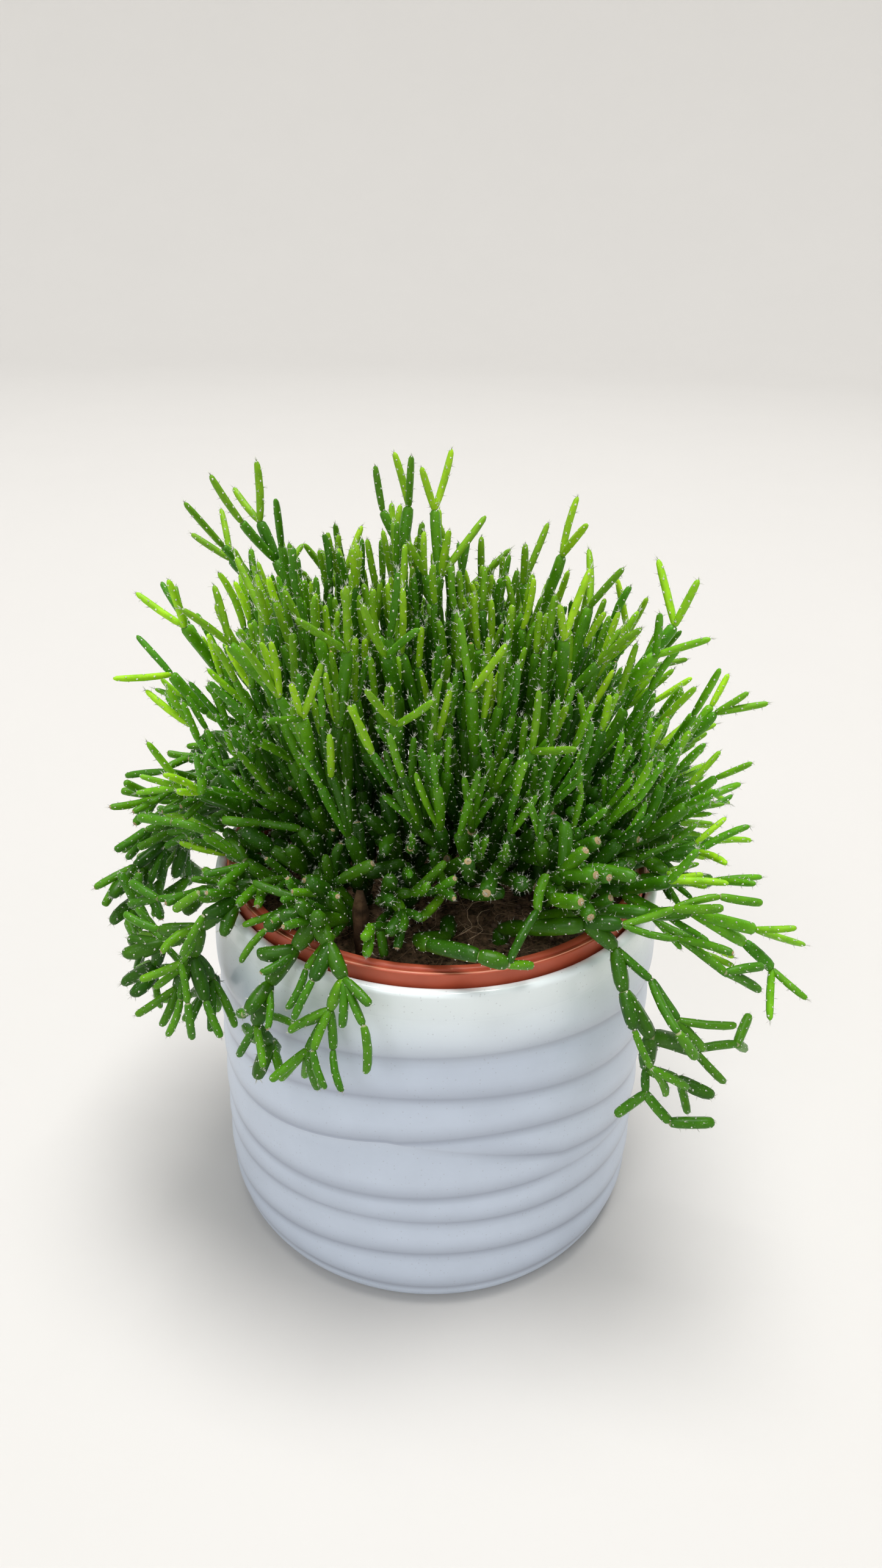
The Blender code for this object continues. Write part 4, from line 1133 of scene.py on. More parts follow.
def crease_heights(angle):
    """Heights of the creases at an angle round the pot, from the foot to the lip.

    The angle is 0 at the front and grows to the right. Where two creases run together,
    the swell between them dies away.
    """
    heights = [crease.height + crease.sway * math.cos(2 * angle - CREASE_TURN)
               + crease.ripple * math.cos(3 * angle + crease.phase) for crease in CREASES]
    split = within(0.0, SPLIT_RAMP[0] + SPLIT_RAMP[1] * math.sin(angle - SPLIT_ANGLE), 1.0)
    heights[3] = heights[4] - SPLIT_HEIGHT * split
    apart = within(0.0, MEET_RAMP[0] + MEET_RAMP[1] * math.cos(angle - MEET_ANGLE), 1.0)
    heights[1] = heights[2] - (heights[2] - heights[1]) * apart
    heights = [POT_FOOT_ROUND] + heights + [POT_BAND]
    for index in range(1, len(heights)):
        heights[index] = max(heights[index], heights[index - 1] + LEAST_SPACING)
    return heights


def relief_point(level, angle, swell_height):
    """A point on the pot's waved wall, and how much painted shade darkens the glaze there: level counts
    creases up.
    """
    heights = crease_heights(angle)
    band = min(int(level), len(heights) - 2)
    share = level - band
    spacings = [above - below for below, above in zip(heights, heights[1:])] + [0.0]
    full, full_above = (min(1.0, spacing / FULL_SPACING) for spacing in spacings[band:band + 2])
    radius = POT_RADIUS + swell_height * full * math.sin(math.pi * share ** SWELL_DROOP)
    height = heights[band] + share * spacings[band]
    rise = full * max(0.0, 1.0 - share * spacings[band] / PAINTED_SHADE_RISE)
    drop = full_above * max(0.0, 1.0 - (1.0 - share) * spacings[band] / PAINTED_SHADE_DROP)
    return Vector((radius * math.sin(angle), -radius * math.cos(angle), height)), max(rise, drop) ** PAINTED_SHADE_FADE


def make_cachepot(pot):
    """The turned pot, with the rows of its outer wall then laid along the creases."""
    bands = len(CREASES) + 1
    corner = [(POT_RADIUS - (POT_RADIUS - POT_FOOT_RADIUS) * (1 - math.sin(turn)),
               POT_FOOT_ROUND * (1 - math.cos(turn)))
              for turn in (math.pi / 2 * step / 6 for step in range(6))]
    wall = line((POT_RADIUS, POT_FOOT_ROUND), (POT_RADIUS, POT_BAND), bands * ROWS_PER_SWELL)
    lip = POT_HEIGHT - POT_LIP_ROUND
    band = line((POT_RADIUS, POT_BAND), (POT_RADIUS, lip), 4)[:-1]
    lip_out = arc((POT_RADIUS - POT_LIP_ROUND, lip), POT_LIP_ROUND, 0, 90)
    lip_in = arc((POT_MOUTH_RADIUS + POT_LIP_ROUND, lip), POT_LIP_ROUND, 90, 180)
    floor = arc((POT_INNER_FLOOR_RADIUS - POT_FLOOR_ROUND, POT_FLOOR + POT_FLOOR_ROUND),
                POT_FLOOR_ROUND, 0, -90)
    profile = [(0.0, 0.0)] + corner + [(POT_RADIUS, POT_FOOT_ROUND)] + wall + band + lip_out + lip_in
    profile += floor + [(0.0, POT_FLOOR)]
    mesh = lathe(profile, POT_SIDES, "fine_cachepot")
    # how much painted shade darkens the glaze, point by point
    painted_shades = []
    for vert in mesh.vertices:
        radius = math.hypot(vert.co.x, vert.co.y)
        height = vert.co.z
        pooled = 0.0
        if radius > POT_RADIUS - TINY and POT_FOOT_ROUND - TINY < height < POT_BAND + TINY:
            level = bands * (height - POT_FOOT_ROUND) / (POT_BAND - POT_FOOT_ROUND)
            angle = math.atan2(vert.co.x, -vert.co.y)
            vert.co, pooled = relief_point(within(0.0, level, bands), angle, pot.swell)
        painted_shades.append(pooled)
    keep_values(mesh, "pooled", painted_shades)
    obj = add_object("fine_cachepot", mesh, glaze_material(pot))
    shade(obj, 60.0)
    settle(obj, "cachepot")


def liner_radius(height):
    """Outer radius of the nursery pot's tapered wall."""
    share = (height - LINER_FOOT) / (LINER_RIM_TOP - LINER_RIM_DEPTH - LINER_FOOT)
    return LINER_FOOT_RADIUS + (LINER_WALL_TOP_RADIUS - LINER_FOOT_RADIUS) * share


def make_nursery_pot(liner):
    """The nursery pot: stepped rim with the mould's ragged line, wall, foot and drain holes."""
    rim_base = LINER_RIM_TOP - LINER_RIM_DEPTH
    step = LINER_MOUTH_RADIUS + LINER_RIM_STEP
    edge = LINER_RIM_RADIUS - LINER_EDGE
    top = LINER_RIM_TOP - 0.0001
    flash = [(edge, top), (edge - FLASH_WIDTH / 2, top + FLASH_HEIGHT), (edge - FLASH_WIDTH, top)]
    profile = [(0.0, LINER_FOOT), (LINER_FOOT_RADIUS - LINER_WALL, LINER_FOOT),
               (LINER_FOOT_RADIUS, LINER_FOOT + LINER_WALL)]
    profile += line(profile[-1], (LINER_WALL_TOP_RADIUS, rim_base - 0.0006), 12)
    profile += [(LINER_WALL_TOP_RADIUS + 0.0006, rim_base), (LINER_RIM_RADIUS - 0.0009, rim_base),
                (LINER_RIM_RADIUS - 0.0005, rim_base + 0.0004)]
    profile += line(profile[-1], (LINER_RIM_RADIUS, LINER_RIM_TOP - LINER_EDGE - 0.0001), 3)
    profile += arc((edge, LINER_RIM_TOP - LINER_EDGE - 0.0001), LINER_EDGE, 15, 75, 3) + flash
    profile += line(flash[-1], (step, LINER_RIM_TOP - 0.0007), 3)
    profile += [(step - 0.0002, LINER_RIM_TOP - 0.0003), (step - 0.0005, top)]
    profile += arc((LINER_MOUTH_RADIUS + 0.0003, LINER_RIM_TOP - 0.0004), 0.0003, 90, 180, 3)
    profile += [(LINER_WALL_TOP_RADIUS - LINER_WALL, rim_base)]
    profile += line(profile[-1], (LINER_FOOT_RADIUS - LINER_WALL, LINER_FOOT + LINER_WALL), 10)
    profile += [(0.0, LINER_FOOT + LINER_WALL)]
    mesh = lathe(profile, LINER_SIDES, "fine_nursery_pot")
    raised = []
    for vert in mesh.vertices:
        radius = math.hypot(vert.co.x, vert.co.y)
        on_flash = radius > edge - FLASH_WIDTH - TINY and vert.co.z > top - TINY
        if on_flash and vert.co.z > LINER_RIM_TOP:
            ragged = noise.noise(Vector((vert.co.x, vert.co.y, 0.0)) * 260.0)
            vert.co.z += FLASH_HEIGHT * ragged
            vert.co *= 1.0 - 0.0022 * noise.noise(Vector((vert.co.x, vert.co.y, 1.0)) * 120.0)
            vert.co.z = max(vert.co.z, top)
        raised.append(1.0 if on_flash else 0.0)
    keep_values(mesh, "flash", raised)
    obj = add_object("fine_nursery_pot", mesh, plastic_material(liner))
    cut_drains(obj)
    shade(obj, 35.0)
    settle(obj, "nursery_pot")


def cut_drains(liner):
    """Cuts the drain holes in the nursery pot's foot."""
    drains = bmesh.new()
    for index in range(DRAINS):
        turn = Matrix.Rotation(2 * math.pi * index / DRAINS, 4, "Z")
        spot = turn @ Matrix.Translation((DRAIN_CIRCLE, 0, LINER_FOOT))
        bmesh.ops.create_cone(drains, segments=DRAIN_SIDES, radius1=DRAIN_RADIUS, radius2=DRAIN_RADIUS,
                              depth=4 * LINER_WALL, cap_ends=True, matrix=spot)
    cutter = add_object("drain_cutters", finish_mesh(drains, "drain_cutters"))
    cut = liner.modifiers.new("Drains", "BOOLEAN")
    cut.operation = "DIFFERENCE"
    cut.solver = "EXACT"
    cut.object = cutter
    shaped = liner.evaluated_get(bpy.context.evaluated_depsgraph_get())
    mesh = bpy.data.meshes.new_from_object(shaped)
    liner.modifiers.remove(cut)
    liner.data = mesh
    bpy.data.objects.remove(cutter)


def soil_height(x, y):
    """The soil's surface: the solid's slow waves, with clods and hollows on them."""
    waves = SOIL_UNEVEN * (math.sin(SOIL_WAVES[0] * x) + math.cos(SOIL_WAVES[1] * y)) / 2
    clods = CLOD_HEIGHT * noise.fractal(Vector((x, y, 0.0)) * CLODS, 0.9, 2.1, 4)
    return SOIL_LEVEL - SOIL_SINK + waves + clods


def make_soil(soil, material):
    """The root ball, with an uneven crumbly top."""
    low_radius = liner_radius(SOIL_FOOT) - LINER_WALL - 2 * SOIL_CLEAR
    top_radius = LINER_WALL_TOP_RADIUS - LINER_WALL - SOIL_CLEAR
    profile = [(0.0, SOIL_FOOT), (low_radius, SOIL_FOOT)]
    profile += line(profile[-1], (top_radius, SOIL_LEVEL - 0.001), 8)
    profile += line((top_radius, SOIL_LEVEL), (0.0, SOIL_LEVEL), SOIL_RINGS)
    mesh = lathe(profile, SOIL_SIDES, "fine_soil")
    for vert in mesh.vertices:
        if vert.co.z > SOIL_LEVEL - TINY:
            vert.co.z = soil_height(vert.co.x, vert.co.y)
    obj = add_object("fine_soil", mesh, material)
    shade(obj, 60.0)
    settle(obj, "soil")


def crumb_shape(index, draw):
    """A rough crumb, 1 across."""
    bm = bmesh.new()
    bmesh.ops.create_icosphere(bm, subdivisions=1, radius=0.5)
    for vert in bm.verts:
        vert.co *= draw.uniform(0.7, 1.15)
    bmesh.ops.scale(bm, vec=(1.0, draw.uniform(0.6, 0.9), draw.uniform(0.5, 0.8)), verts=bm.verts[:])
    return finish_mesh(bm, f"crumb_{index}")


def fibre_shape(index, draw):
    """A thin wandering fibre, 1 long, lying along X."""
    rings = []
    wander = [draw.uniform(-0.14, 0.14) for part in range(4)]
    for step in range(FIBRE_STEPS + 1):
        t = step / FIBRE_STEPS
        side = wander[0] * math.sin(math.pi * t) + wander[1] * math.sin(2 * math.pi * t)
        rise = wander[2] * math.sin(math.pi * t) * 0.5 + wander[3] * math.sin(2.5 * math.pi * t) * 0.4
        girth = FIBRE_GIRTH * (1.0 - 0.5 * t)
        rings.append((Vector((t - 0.5, side, rise)), Vector((1.0, 0.0, 0.0)), girth))
    return loft(rings, 3, f"fibre_{index}")


def lay(matrix):
    """Places a copy by a matrix; it has no length of its own."""
    turn = np.array(matrix.to_3x3())
    shift = np.array(matrix.translation)
    return lambda points: (points @ turn.T + shift, 0.0)


def soil_spot(draw, radius):
    """A random place on the soil, even over its area."""
    away = radius * math.sqrt(draw.random())
    turn = draw.uniform(0.0, 2.0 * math.pi)
    return away * math.cos(turn), away * math.sin(turn)


def make_litter(soil):
    """Crumbs of peat and coir fibres, strewn over the soil."""
    draw = random.Random(SOIL_SEED)
    reach = LINER_MOUTH_RADIUS - 0.0018
    shapes = [crumb_shape(index, draw) for index in range(CRUMB_SHAPES)]
    crumbs = Copies()
    for index in range(soil.crumbs):
        x, y = soil_spot(draw, reach)
        size = CRUMB_LEAST + CRUMB_RANGE * draw.random() ** 2.5
        tone = 0.9 if draw.random() < PALE_CRUMBS else 0.45 * draw.random()
        yaw = Matrix.Rotation(draw.uniform(0, FULL_TURN), 4, "Z")
        turn = yaw @ Matrix.Rotation(draw.uniform(-CRUMB_TILT, CRUMB_TILT), 4, "X")
        place = Matrix.Translation((x, y, soil_height(x, y) + 0.15 * size)) @ turn @ Matrix.Scale(size, 4)
        crumbs.add(draw.choice(shapes), lay(place), tone=tone)
    obj = crumbs.finish("soil_crumbs", [litter_material("crumbs", soil.peat_colour, soil.chip_colour)])
    settle(obj, None)
    shapes = [fibre_shape(index, draw) for index in range(FIBRE_SHAPES)]
    fibres = Copies()
    for index in range(soil.fibres):
        length = FIBRE_LEAST + FIBRE_RANGE * draw.random() ** 1.6
        x, y = soil_spot(draw, reach - length / 2)
        slope = draw.gauss(0.0, FIBRE_SLOPE)
        turn = Matrix.Rotation(draw.uniform(0, FULL_TURN), 4, "Z") @ Matrix.Rotation(slope, 4, "Y")
        height = soil_height(x, y) + 0.0004 + 0.35 * length * abs(math.sin(slope))
        place = Matrix.Translation((x, y, height)) @ turn @ Matrix.Scale(length, 4)
        fibres.add(draw.choice(shapes), lay(place), tone=draw.random() ** 1.5)
    for x, y, yaw, length in STRAWS:
        turn = Matrix.Rotation(math.radians(yaw), 4, "Z") @ Matrix.Rotation(STRAW_SLOPE, 4, "Y")
        size = Matrix.Diagonal((length, STRAW_GIRTH * length, STRAW_GIRTH * length, 1.0))
        place = Matrix.Translation((x, y, soil_height(x, y) + STRAW_RISE)) @ turn @ size
        fibres.add(shapes[0], lay(place), tone=1.0)
    obj = fibres.finish("soil_fibres", [litter_material("fibres", soil.coir_colour, soil.fibre_colour)])
    settle(obj, None)


def make_husk(soil):
    """A dry curled flake that stands in the soil between the stems."""
    foot, top = HUSK
    bm = bmesh.new()
    bmesh.ops.create_grid(bm, x_segments=HUSK_COLUMNS, y_segments=HUSK_ROWS, size=0.5)
    for vert in bm.verts:
        share = vert.co.y + 0.5
        open_share = HUSK_CURL_SPAN[0] + (HUSK_CURL_SPAN[1] - HUSK_CURL_SPAN[0]) * share
        turn = HUSK_CURL * math.sin(math.pi * open_share) * vert.co.x
        radius = HUSK_RADIUS + HUSK_CRUMPLE * noise.noise(vert.co * HUSK_FOLDS)
        middle = foot.lerp(top, share) + Vector((0.0, HUSK_RADIUS, 0.0))
        vert.co = middle + Vector((math.sin(turn), -math.cos(turn), 0.0)) * radius
    bmesh.ops.solidify(bm, geom=bm.faces[:], thickness=HUSK_THICKNESS)
    material = litter_material("husk", soil.husk_colour, soil.husk_edge_colour)
    obj = add_object("husk", finish_mesh(bm, "husk"), material)
    keep_values(obj.data, "tone", [noise.noise(vert.co * HUSK_PATCHES) * HUSK_TONE_RANGE + HUSK_TONE
                                   for vert in obj.data.vertices])
    shade(obj)
    settle(obj, None)


def outline_girth(shape, share):
    """A bone's girth at a share of its length, in girths."""
    for (low, girth), (high, next_girth) in zip(shape.outline, shape.outline[1:]):
        if low <= share <= high:
            return girth + (next_girth - girth) * (share - low) / (high - low)
    return shape.outline[-1][1]


def add_spike(bm, spot, way, radius, length, sides, material):
    """A small cone that stands on the skin."""
    facing = UP.rotation_difference(way).to_matrix().to_4x4()
    matrix = Matrix.Translation(spot + way * (length / 2 - 0.2 * radius)) @ facing
    cone = bmesh.ops.create_cone(bm, segments=sides, radius1=radius, radius2=0.0, depth=length,
                                 cap_ends=True, matrix=matrix)["verts"]
    for face in {face for vert in cone for face in vert.link_faces}:
        face.material_index = material


def bone_shape(kind, bristly, stems, draw):
    """One bone with its areoles, and on new growth their bristles, in girths."""
    shape = SHAPES[kind]
    bm = bmesh.new()
    outline = [(0.0, 0.0)] + list(shape.outline) + [(1.0, 0.0)]
    turn_profile(bm, [(girth, share * shape.slimness) for share, girth in outline], BONE_SIDES)
    top = 0.99 * shape.slimness
    if draw.random() < SCARRED[kind]:
        for face in bm.faces:
            if face.calc_center_median().z > top:
                face.material_index = SCAR
    bmesh.ops.recalc_face_normals(bm, faces=bm.faces[:])
    start = draw.uniform(0.0, 2.0 * math.pi)
    for index in range(shape.areoles):
        share = (index + draw.uniform(0.45, 0.85)) / shape.areoles
        turn = start + index * GOLDEN_ANGLE + draw.gauss(0.0, 0.12)
        out = Vector((math.cos(turn), math.sin(turn), 0.0))
        spot = out * outline_girth(shape, share) + UP * (share * shape.slimness)
        size = stems.areole_size / 2 / shape.girth * draw.uniform(0.8, 1.2)
        add_spike(bm, spot, out, size, 0.8 * size, 4, AREOLE)
        for hair in range(draw.choice((1, 2, 3)) if bristly else 0):
            way = (out + UP * 0.45 + stray(draw) * 0.35).normalized()
            length = stems.bristle_length / shape.girth * draw.uniform(0.5, 1.2)
            add_spike(bm, spot, way, stems.bristle_size / 2 / shape.girth, length, 3, BRISTLE)
    for hair in range(TUFT_HAIRS if bristly else 0):
        way = (UP * 0.9 + stray(draw) * 0.55).normalized()
        length = stems.bristle_length / shape.girth * draw.uniform(0.7, 1.4)
        add_spike(bm, UP * top, way, stems.bristle_size / 2 / shape.girth, length, 3, BRISTLE)
    mesh = bpy.data.meshes.new(f"{kind}_bone")
    bm.to_mesh(mesh)
    bm.free()
    return mesh


def lay_bone(bone, slimness, roll, sunk=0.0):
    """Places a bone's shape from its joint to its end, bowed as the bone is."""
    way = bone.heading()
    across = way.orthogonal().normalized()
    across.rotate(Quaternion(way, roll))
    beside = way.cross(across)
    start = bone.start - way * sunk
    run = bone.end - start

    def place(points):
        along = points[:, 2] / slimness
        bowed = 4.0 * along * (1.0 - along)
        laid = (np.array(start) + along[:, None] * np.array(run) + bowed[:, None] * np.array(bone.bow)
                + points[:, :1] * bone.girth * np.array(across)
                + points[:, 1:2] * bone.girth * np.array(beside))
        return laid, along
    return place


def choose_kind(habit, bone):
    """The kind of shape that is nearest to the bone's own proportions."""
    slimness = (bone.end - bone.start).length / bone.girth
    if habit is TRAILING:
        return "bottle" if slimness < BOTTLE_BELOW else "stout"
    if slimness < STOUT_BELOW:
        return "bottle" if bone.children else "stout"
    if not bone.children and bone.girth < TIP_GIRTH:
        return "tip"
    return "club" if slimness > CLUB_ABOVE else "stout"


def age_of(habit, bone, out, draw):
    """How new a bone looks, from 0, old, to 1, this season's growth."""
    looks_old = bone.girth > FAT or is_low(bone.end) and draw.random() < LOW_OLD
    if bone.children or out < YOUNG_REACH or looks_old:
        newest = FAT_AGE if looks_old else GROWN_AGE
        return within(0.0, AGE_RISE * (out - AGE_FROM) + draw.gauss(0.0, AGE_SPREAD), newest)
    if habit is TRAILING:
        return draw.uniform(*TRAILING_AGES)
    newest = draw.random() < NEWEST_SHARE[bone.end.z > NEWEST_FROM]
    age = draw.uniform(*(NEWEST_AGES if newest else NEW_AGES))
    # painted shade: tips low inside the brush are given older, darker colours
    if math.hypot(bone.end.x, bone.end.y) > SHADED_RADIUS:
        return age
    height = within(0.0, (bone.end.z - LOW_TOP) / (SHADED_TOP - LOW_TOP), 1.0)
    return age * (SHADED_AGE + (1.0 - SHADED_AGE) * height)


def make_stem(stem, peg, outline, shapes, materials, draw):
    """One stem's bones as a single piece."""
    copies = Copies()
    for bone in bones_of(peg):
        kind = choose_kind(stem.habit, bone)
        age = age_of(stem.habit, bone, outline.share(bone.end), draw)
        bristly = draw.random() < BRISTLY_SHARES[bool(bone.children)]
        shape = draw.choice(shapes[kind, bristly])
        roll = draw.uniform(0.0, 2.0 * math.pi)
        place = lay_bone(bone, SHAPES[kind].slimness, roll, SUNK * bone.girth)
        copies.add(shape, place, age=age, tone=draw.random(), along=ALONG)
    obj = copies.finish("fine_" + stem.name, materials)
    settle(obj, stem.name)


def make_stems(stems):
    """All the stems: the bones of the solids, their side shoots, and the skin on them."""
    first_bones, thicket = grow_stems()
    pegs = {name: add_peg(bone, thicket) for name, bone in first_bones.items()}
    outline = Outline()
    thicket.add(Bone(None, *HUSK, Vector(), HUSK_ROOM), HUSK_ROOM)
    add_shoots(pegs, thicket, outline, stems.bones)
    draw = random.Random(SHOOT_SEED)
    shapes = {(kind, bristly): [bone_shape(kind, bristly, stems, draw) for index in range(SHAPE_DRAWS)]
              for kind in SHAPES for bristly in (False, True)}
    felt = plain_material("areole_felt", stems.areole_colour, 0.9, 2000.0)
    bristle = plain_material("bristle", stems.bristle_colour, 0.5, 2000.0)
    scar = plain_material("corky_scar", stems.scar_colour, 0.9, 3000.0)
    skins = {habit: skin_material(f"skin_{slot}", stems, share) for habit, slot, share in SKINS_WITH_PAINTED_LIGHT}
    for stem in STEMS:
        materials = [skins[stem.habit], felt, bristle, scar]
        make_stem(stem, pegs[stem.name], outline, shapes, materials, draw)


def make_floor(stage):
    """A pale floor that curves up into a wall all round, far off."""
    profile = [(0.0, 0.0), (STAGE_RADIUS * 0.5, 0.0), (STAGE_RADIUS, 0.0)]
    profile += arc((STAGE_RADIUS, STAGE_CURVE), STAGE_CURVE, -90, 0, 16)
    profile += [(STAGE_RADIUS + STAGE_CURVE, STAGE_HEIGHT)]
    mesh = lathe(profile, STAGE_SIDES, "studio_floor")
    material, tree, shader = new_material("studio_floor", 0.85, Specular_IOR_Level=0.2)
    body = mottle(tree, stage.floor_colour, darker(stage.floor_colour, 0.985), 6.0, 0.6)
    tree.links.new(body.outputs["Colour"], shader.inputs["Base Color"])
    floor = add_object("studio_floor", mesh, material)
    shade(floor)


def make_camera():
    """The camera, where the photograph was taken from."""
    data = bpy.data.cameras.new("camera")
    data.sensor_width = SENSOR_WIDTH
    data.lens = SENSOR_WIDTH * FOCAL_SHARE
    data.clip_start = 0.01
    camera = bpy.data.objects.new("camera", data)
    bpy.context.scene.collection.objects.link(camera)
    tilt = Matrix.Rotation(math.radians(90.0 - CAMERA_PITCH), 4, "X")
    yaw = Matrix.Rotation(math.radians(-CAMERA_YAW), 4, "Z")
    roll = Matrix.Rotation(math.radians(CAMERA_ROLL), 4, "Z")
    camera.matrix_world = Matrix.Translation(CAMERA_PLACE) @ yaw @ tilt @ roll
    bpy.context.scene.camera = camera


def add_light(name, place, aim, size, power, colour):
    data = bpy.data.lights.new(name, "AREA")
    data.shape = "RECTANGLE"
    data.size, data.size_y = size
    data.energy = power
    data.color = colour
    light = bpy.data.objects.new(name, data)
    light.location = place
    light.rotation_euler = (Vector(aim) - Vector(place)).to_track_quat("-Z", "Y").to_euler()
    bpy.context.scene.collection.objects.link(light)


def make_lights(stage):
    """A wide soft box overhead, a weaker one from the front left, and a bright room."""
    for name, place, size, share, colour in LIGHTS:
        add_light(name, place, LIT_POINT, size, stage.power * share, colour)
    world = bpy.data.worlds.new("studio")
    bpy.context.scene.world = world
    world.use_nodes = True
    background = world.node_tree.nodes["Background"]
    background.inputs["Color"].default_value = (*stage.sky_colour, 1.0)
    background.inputs["Strength"].default_value = stage.sky_strength
    bpy.context.scene.view_settings.view_transform = "Standard"


def colour_of(name, description, default):
    return bpy.props.FloatVectorProperty(name=name, description=description, default=default,
                                         subtype="COLOR", size=3, min=0.0, max=1.0)


def length_of(name, description, default, most):
    return bpy.props.FloatProperty(name=name, description=description, default=default,
                                   min=0.0, max=most, unit="LENGTH", precision=5)


def number_of(name, description, default, most):
    return bpy.props.IntProperty(name=name, description=description, default=default, min=0, max=most)


class CachepotSettings(bpy.types.PropertyGroup):
    swell: length_of("Swell", "How far a full swell stands out from its creases", SWELL, 0.004)
    glaze_colour: colour_of("Glaze", "Body of the glaze", (0.60, 0.68, 0.81))
    # painted shade on the undersides of the swells
    painted_shade_colour: colour_of("Pooled glaze", "Glaze on the undersides of the swells", (0.37, 0.42, 0.52))
    # painted light on the lip, which faces the light
    lip_painted_light_colour: colour_of("Lip", "Glaze on the plain lip", (0.86, 0.94, 0.96))
    speck_colour: colour_of("Specks", "Iron specks in the glaze", (0.20, 0.20, 0.22))


class NurseryPotSettings(bpy.types.PropertyGroup):
    plastic_colour: colour_of("Plastic", "Body of the plastic", (0.56, 0.105, 0.048))
    # painted highlight on the rim's outer edge; the same colour tints the dust specks
    dust_and_flash_highlight_colour: colour_of("Mould line", "Ragged line at the rim's outer edge", (0.80, 0.30, 0.18))


class SoilSettings(bpy.types.PropertyGroup):
    crumbs: number_of("Crumbs", "How many crumbs lie on the soil", 1100, 4000)
    fibres: number_of("Fibres", "How many coir fibres lie on the soil", 520, 2000)
    peat_colour: colour_of("Peat", "Damp dark soil", (0.085, 0.056, 0.030))
    coir_colour: colour_of("Coir", "Drier brown soil", (0.270, 0.170, 0.098))
    fibre_colour: colour_of("Fibres", "Palest fibres", (0.78, 0.58, 0.38))
    chip_colour: colour_of("Chips", "Palest crumbs", (0.34, 0.24, 0.17))
    husk_colour: colour_of("Husk", "Dark of the dry husk", (0.050, 0.030, 0.017))
    husk_edge_colour: colour_of("Husk, pale", "Palest of the dry husk", (0.22, 0.13, 0.07))


class StemSettings(bpy.types.PropertyGroup):
    bones: number_of("Bones", "Most bones on all the stems together", 2600, 5000)
    areole_size: length_of("Areoles", "Width of a white areole", 0.00062, 0.002)
    bristle_length: length_of("Bristles", "Length of a bristle on new growth", 0.0014, 0.005)
    bristle_size: length_of("Bristle width", "Width of a bristle at its root", 0.00017, 0.001)
    young_colour: colour_of("New", "Newest bones", (0.340, 0.620, 0.012))
    mature_colour: colour_of("Grown", "Grown bones", (0.086, 0.282, 0.0035))
    old_colour: colour_of("Old", "Oldest bones", (0.013, 0.062, 0.001))
    ring_colour: colour_of("Joint rings", "Pale rings at the joints", (0.42, 0.42, 0.24))
    areole_colour: colour_of("Areole felt", "White felt of the areoles", (0.95, 0.96, 0.88))
    bristle_colour: colour_of("Bristle", "Whitish bristles", (0.78, 0.80, 0.70))
    scar_colour: colour_of("Scars", "Corky ends of some bones", (0.44, 0.33, 0.17))


class StageSettings(bpy.types.PropertyGroup):
    floor_colour: colour_of("Floor", "Pale studio floor", (0.68, 0.67, 0.65))
    sky_colour: colour_of("Room", "Light of the room", (0.95, 0.97, 1.0))
    sky_strength: bpy.props.FloatProperty(name="Room light", description="Strength of the room's light",
                                          default=0.24, min=0.0, max=5.0)
    power: bpy.props.FloatProperty(name="Lamps", description="Power of all the soft boxes together",
                                   default=180.0, min=0.0, max=1000.0, unit="POWER")


class CACTUS_OT_cachepot(bpy.types.Operator):
    """Turn the glazed cachepot with its waved relief"""
    bl_idname = "cactus.cachepot"
    bl_label = "Cachepot"

    def execute(self, context):
        make_cachepot(context.scene.cactus_cachepot)
        return {"FINISHED"}


class CACTUS_OT_nursery_pot(bpy.types.Operator):
    """Turn the plastic nursery pot and cut its drain holes"""
    bl_idname = "cactus.nursery_pot"
    bl_label = "Nursery Pot"

    def execute(self, context):
        make_nursery_pot(context.scene.cactus_nursery_pot)
        return {"FINISHED"}


class CACTUS_OT_soil(bpy.types.Operator):
    """Shape the soil, and strew its crumbs and fibres"""
    bl_idname = "cactus.soil"
    bl_label = "Soil"

    def execute(self, context):
        soil = context.scene.cactus_soil
        make_soil(soil, soil_material(soil))
        make_litter(soil)
        make_husk(soil)
        return {"FINISHED"}


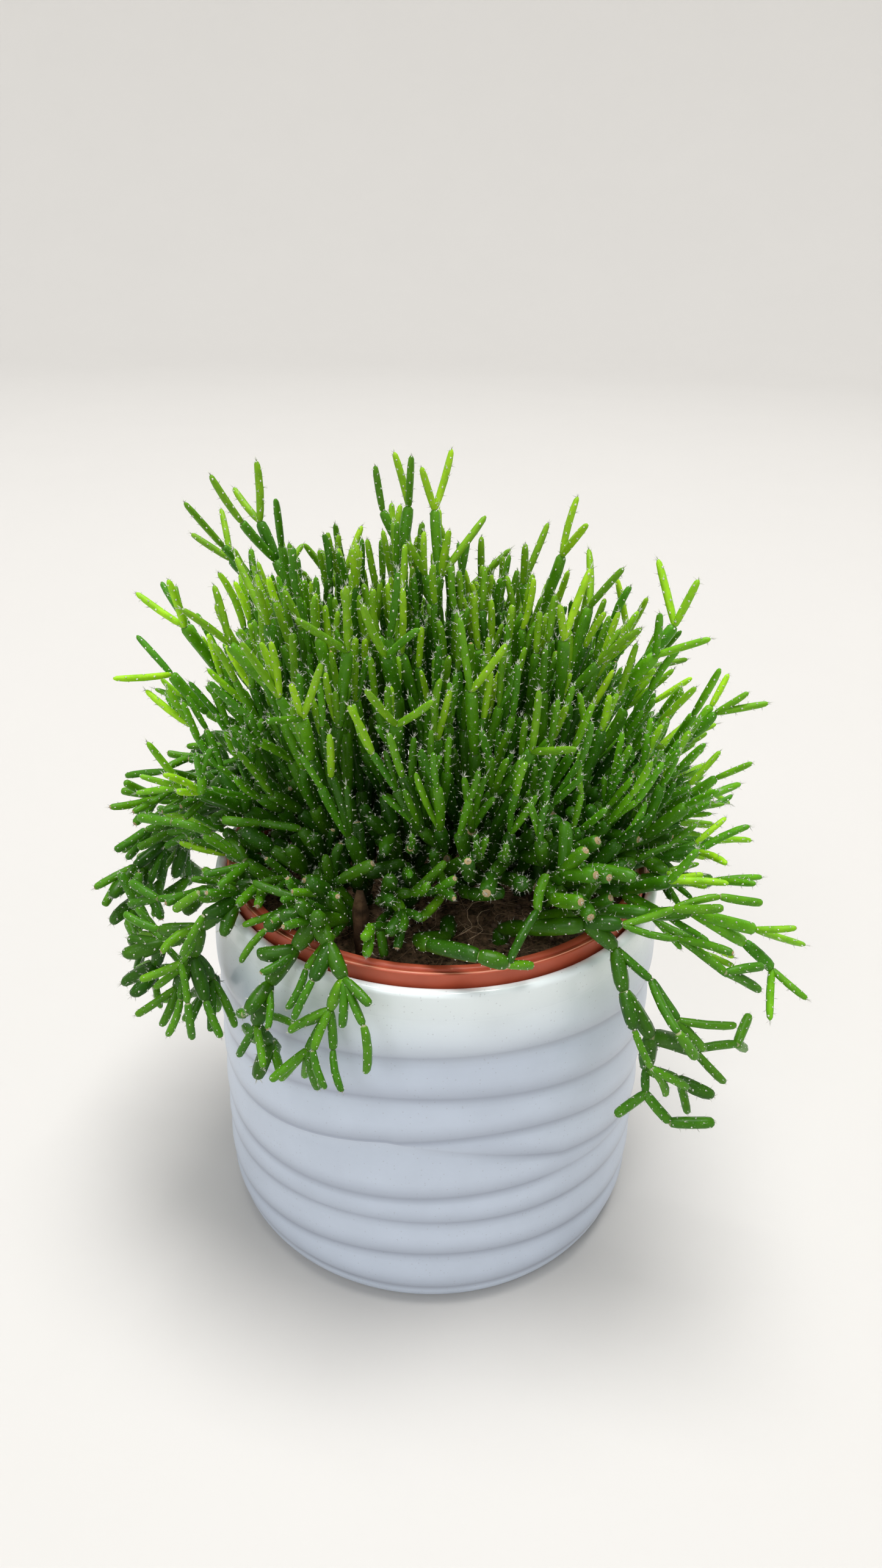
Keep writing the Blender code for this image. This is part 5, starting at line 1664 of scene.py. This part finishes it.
class CACTUS_OT_stems(bpy.types.Operator):
    """Grow the stems and their side shoots"""
    bl_idname = "cactus.stems"
    bl_label = "Stems"

    def execute(self, context):
        make_stems(context.scene.cactus_stems)
        return {"FINISHED"}


class CACTUS_OT_stage(bpy.types.Operator):
    """Set up the floor, the soft light and the camera"""
    bl_idname = "cactus.stage"
    bl_label = "Stage"

    def execute(self, context):
        stage = context.scene.cactus_stage
        make_floor(stage)
        make_lights(stage)
        make_camera()
        return {"FINISHED"}


class VIEW3D_PT_cactus(bpy.types.Panel):
    """Settings of the potted cactus, and the operators that make its pieces"""
    bl_idname = "VIEW3D_PT_cactus"
    bl_label = "Dancing Bones Cactus"
    bl_space_type = "VIEW_3D"
    bl_region_type = "UI"
    bl_category = "Cactus"

    def draw(self, context):
        for name, settings, operator in PANEL_ROWS:
            box = self.layout.box()
            group_of = getattr(context.scene, name)
            for field in settings.__annotations__:
                box.prop(group_of, field)
            box.operator(operator.bl_idname)


PANEL_ROWS = (
    ("cactus_cachepot", CachepotSettings, CACTUS_OT_cachepot),
    ("cactus_nursery_pot", NurseryPotSettings, CACTUS_OT_nursery_pot),
    ("cactus_soil", SoilSettings, CACTUS_OT_soil),
    ("cactus_stems", StemSettings, CACTUS_OT_stems),
    ("cactus_stage", StageSettings, CACTUS_OT_stage),
)


def register():
    for name, settings, operator in PANEL_ROWS:
        bpy.utils.register_class(settings)
        bpy.utils.register_class(operator)
        setattr(bpy.types.Scene, name, bpy.props.PointerProperty(type=settings))
    bpy.utils.register_class(VIEW3D_PT_cactus)


def unregister():
    bpy.utils.unregister_class(VIEW3D_PT_cactus)
    for name, settings, operator in reversed(PANEL_ROWS):
        delattr(bpy.types.Scene, name)
        bpy.utils.unregister_class(operator)
        bpy.utils.unregister_class(settings)


def main():
    register()
    bpy.ops.cactus.stage()
    bpy.ops.cactus.cachepot()
    bpy.ops.cactus.nursery_pot()
    bpy.ops.cactus.soil()
    bpy.ops.cactus.stems()


if __name__ == "__main__":
    main()
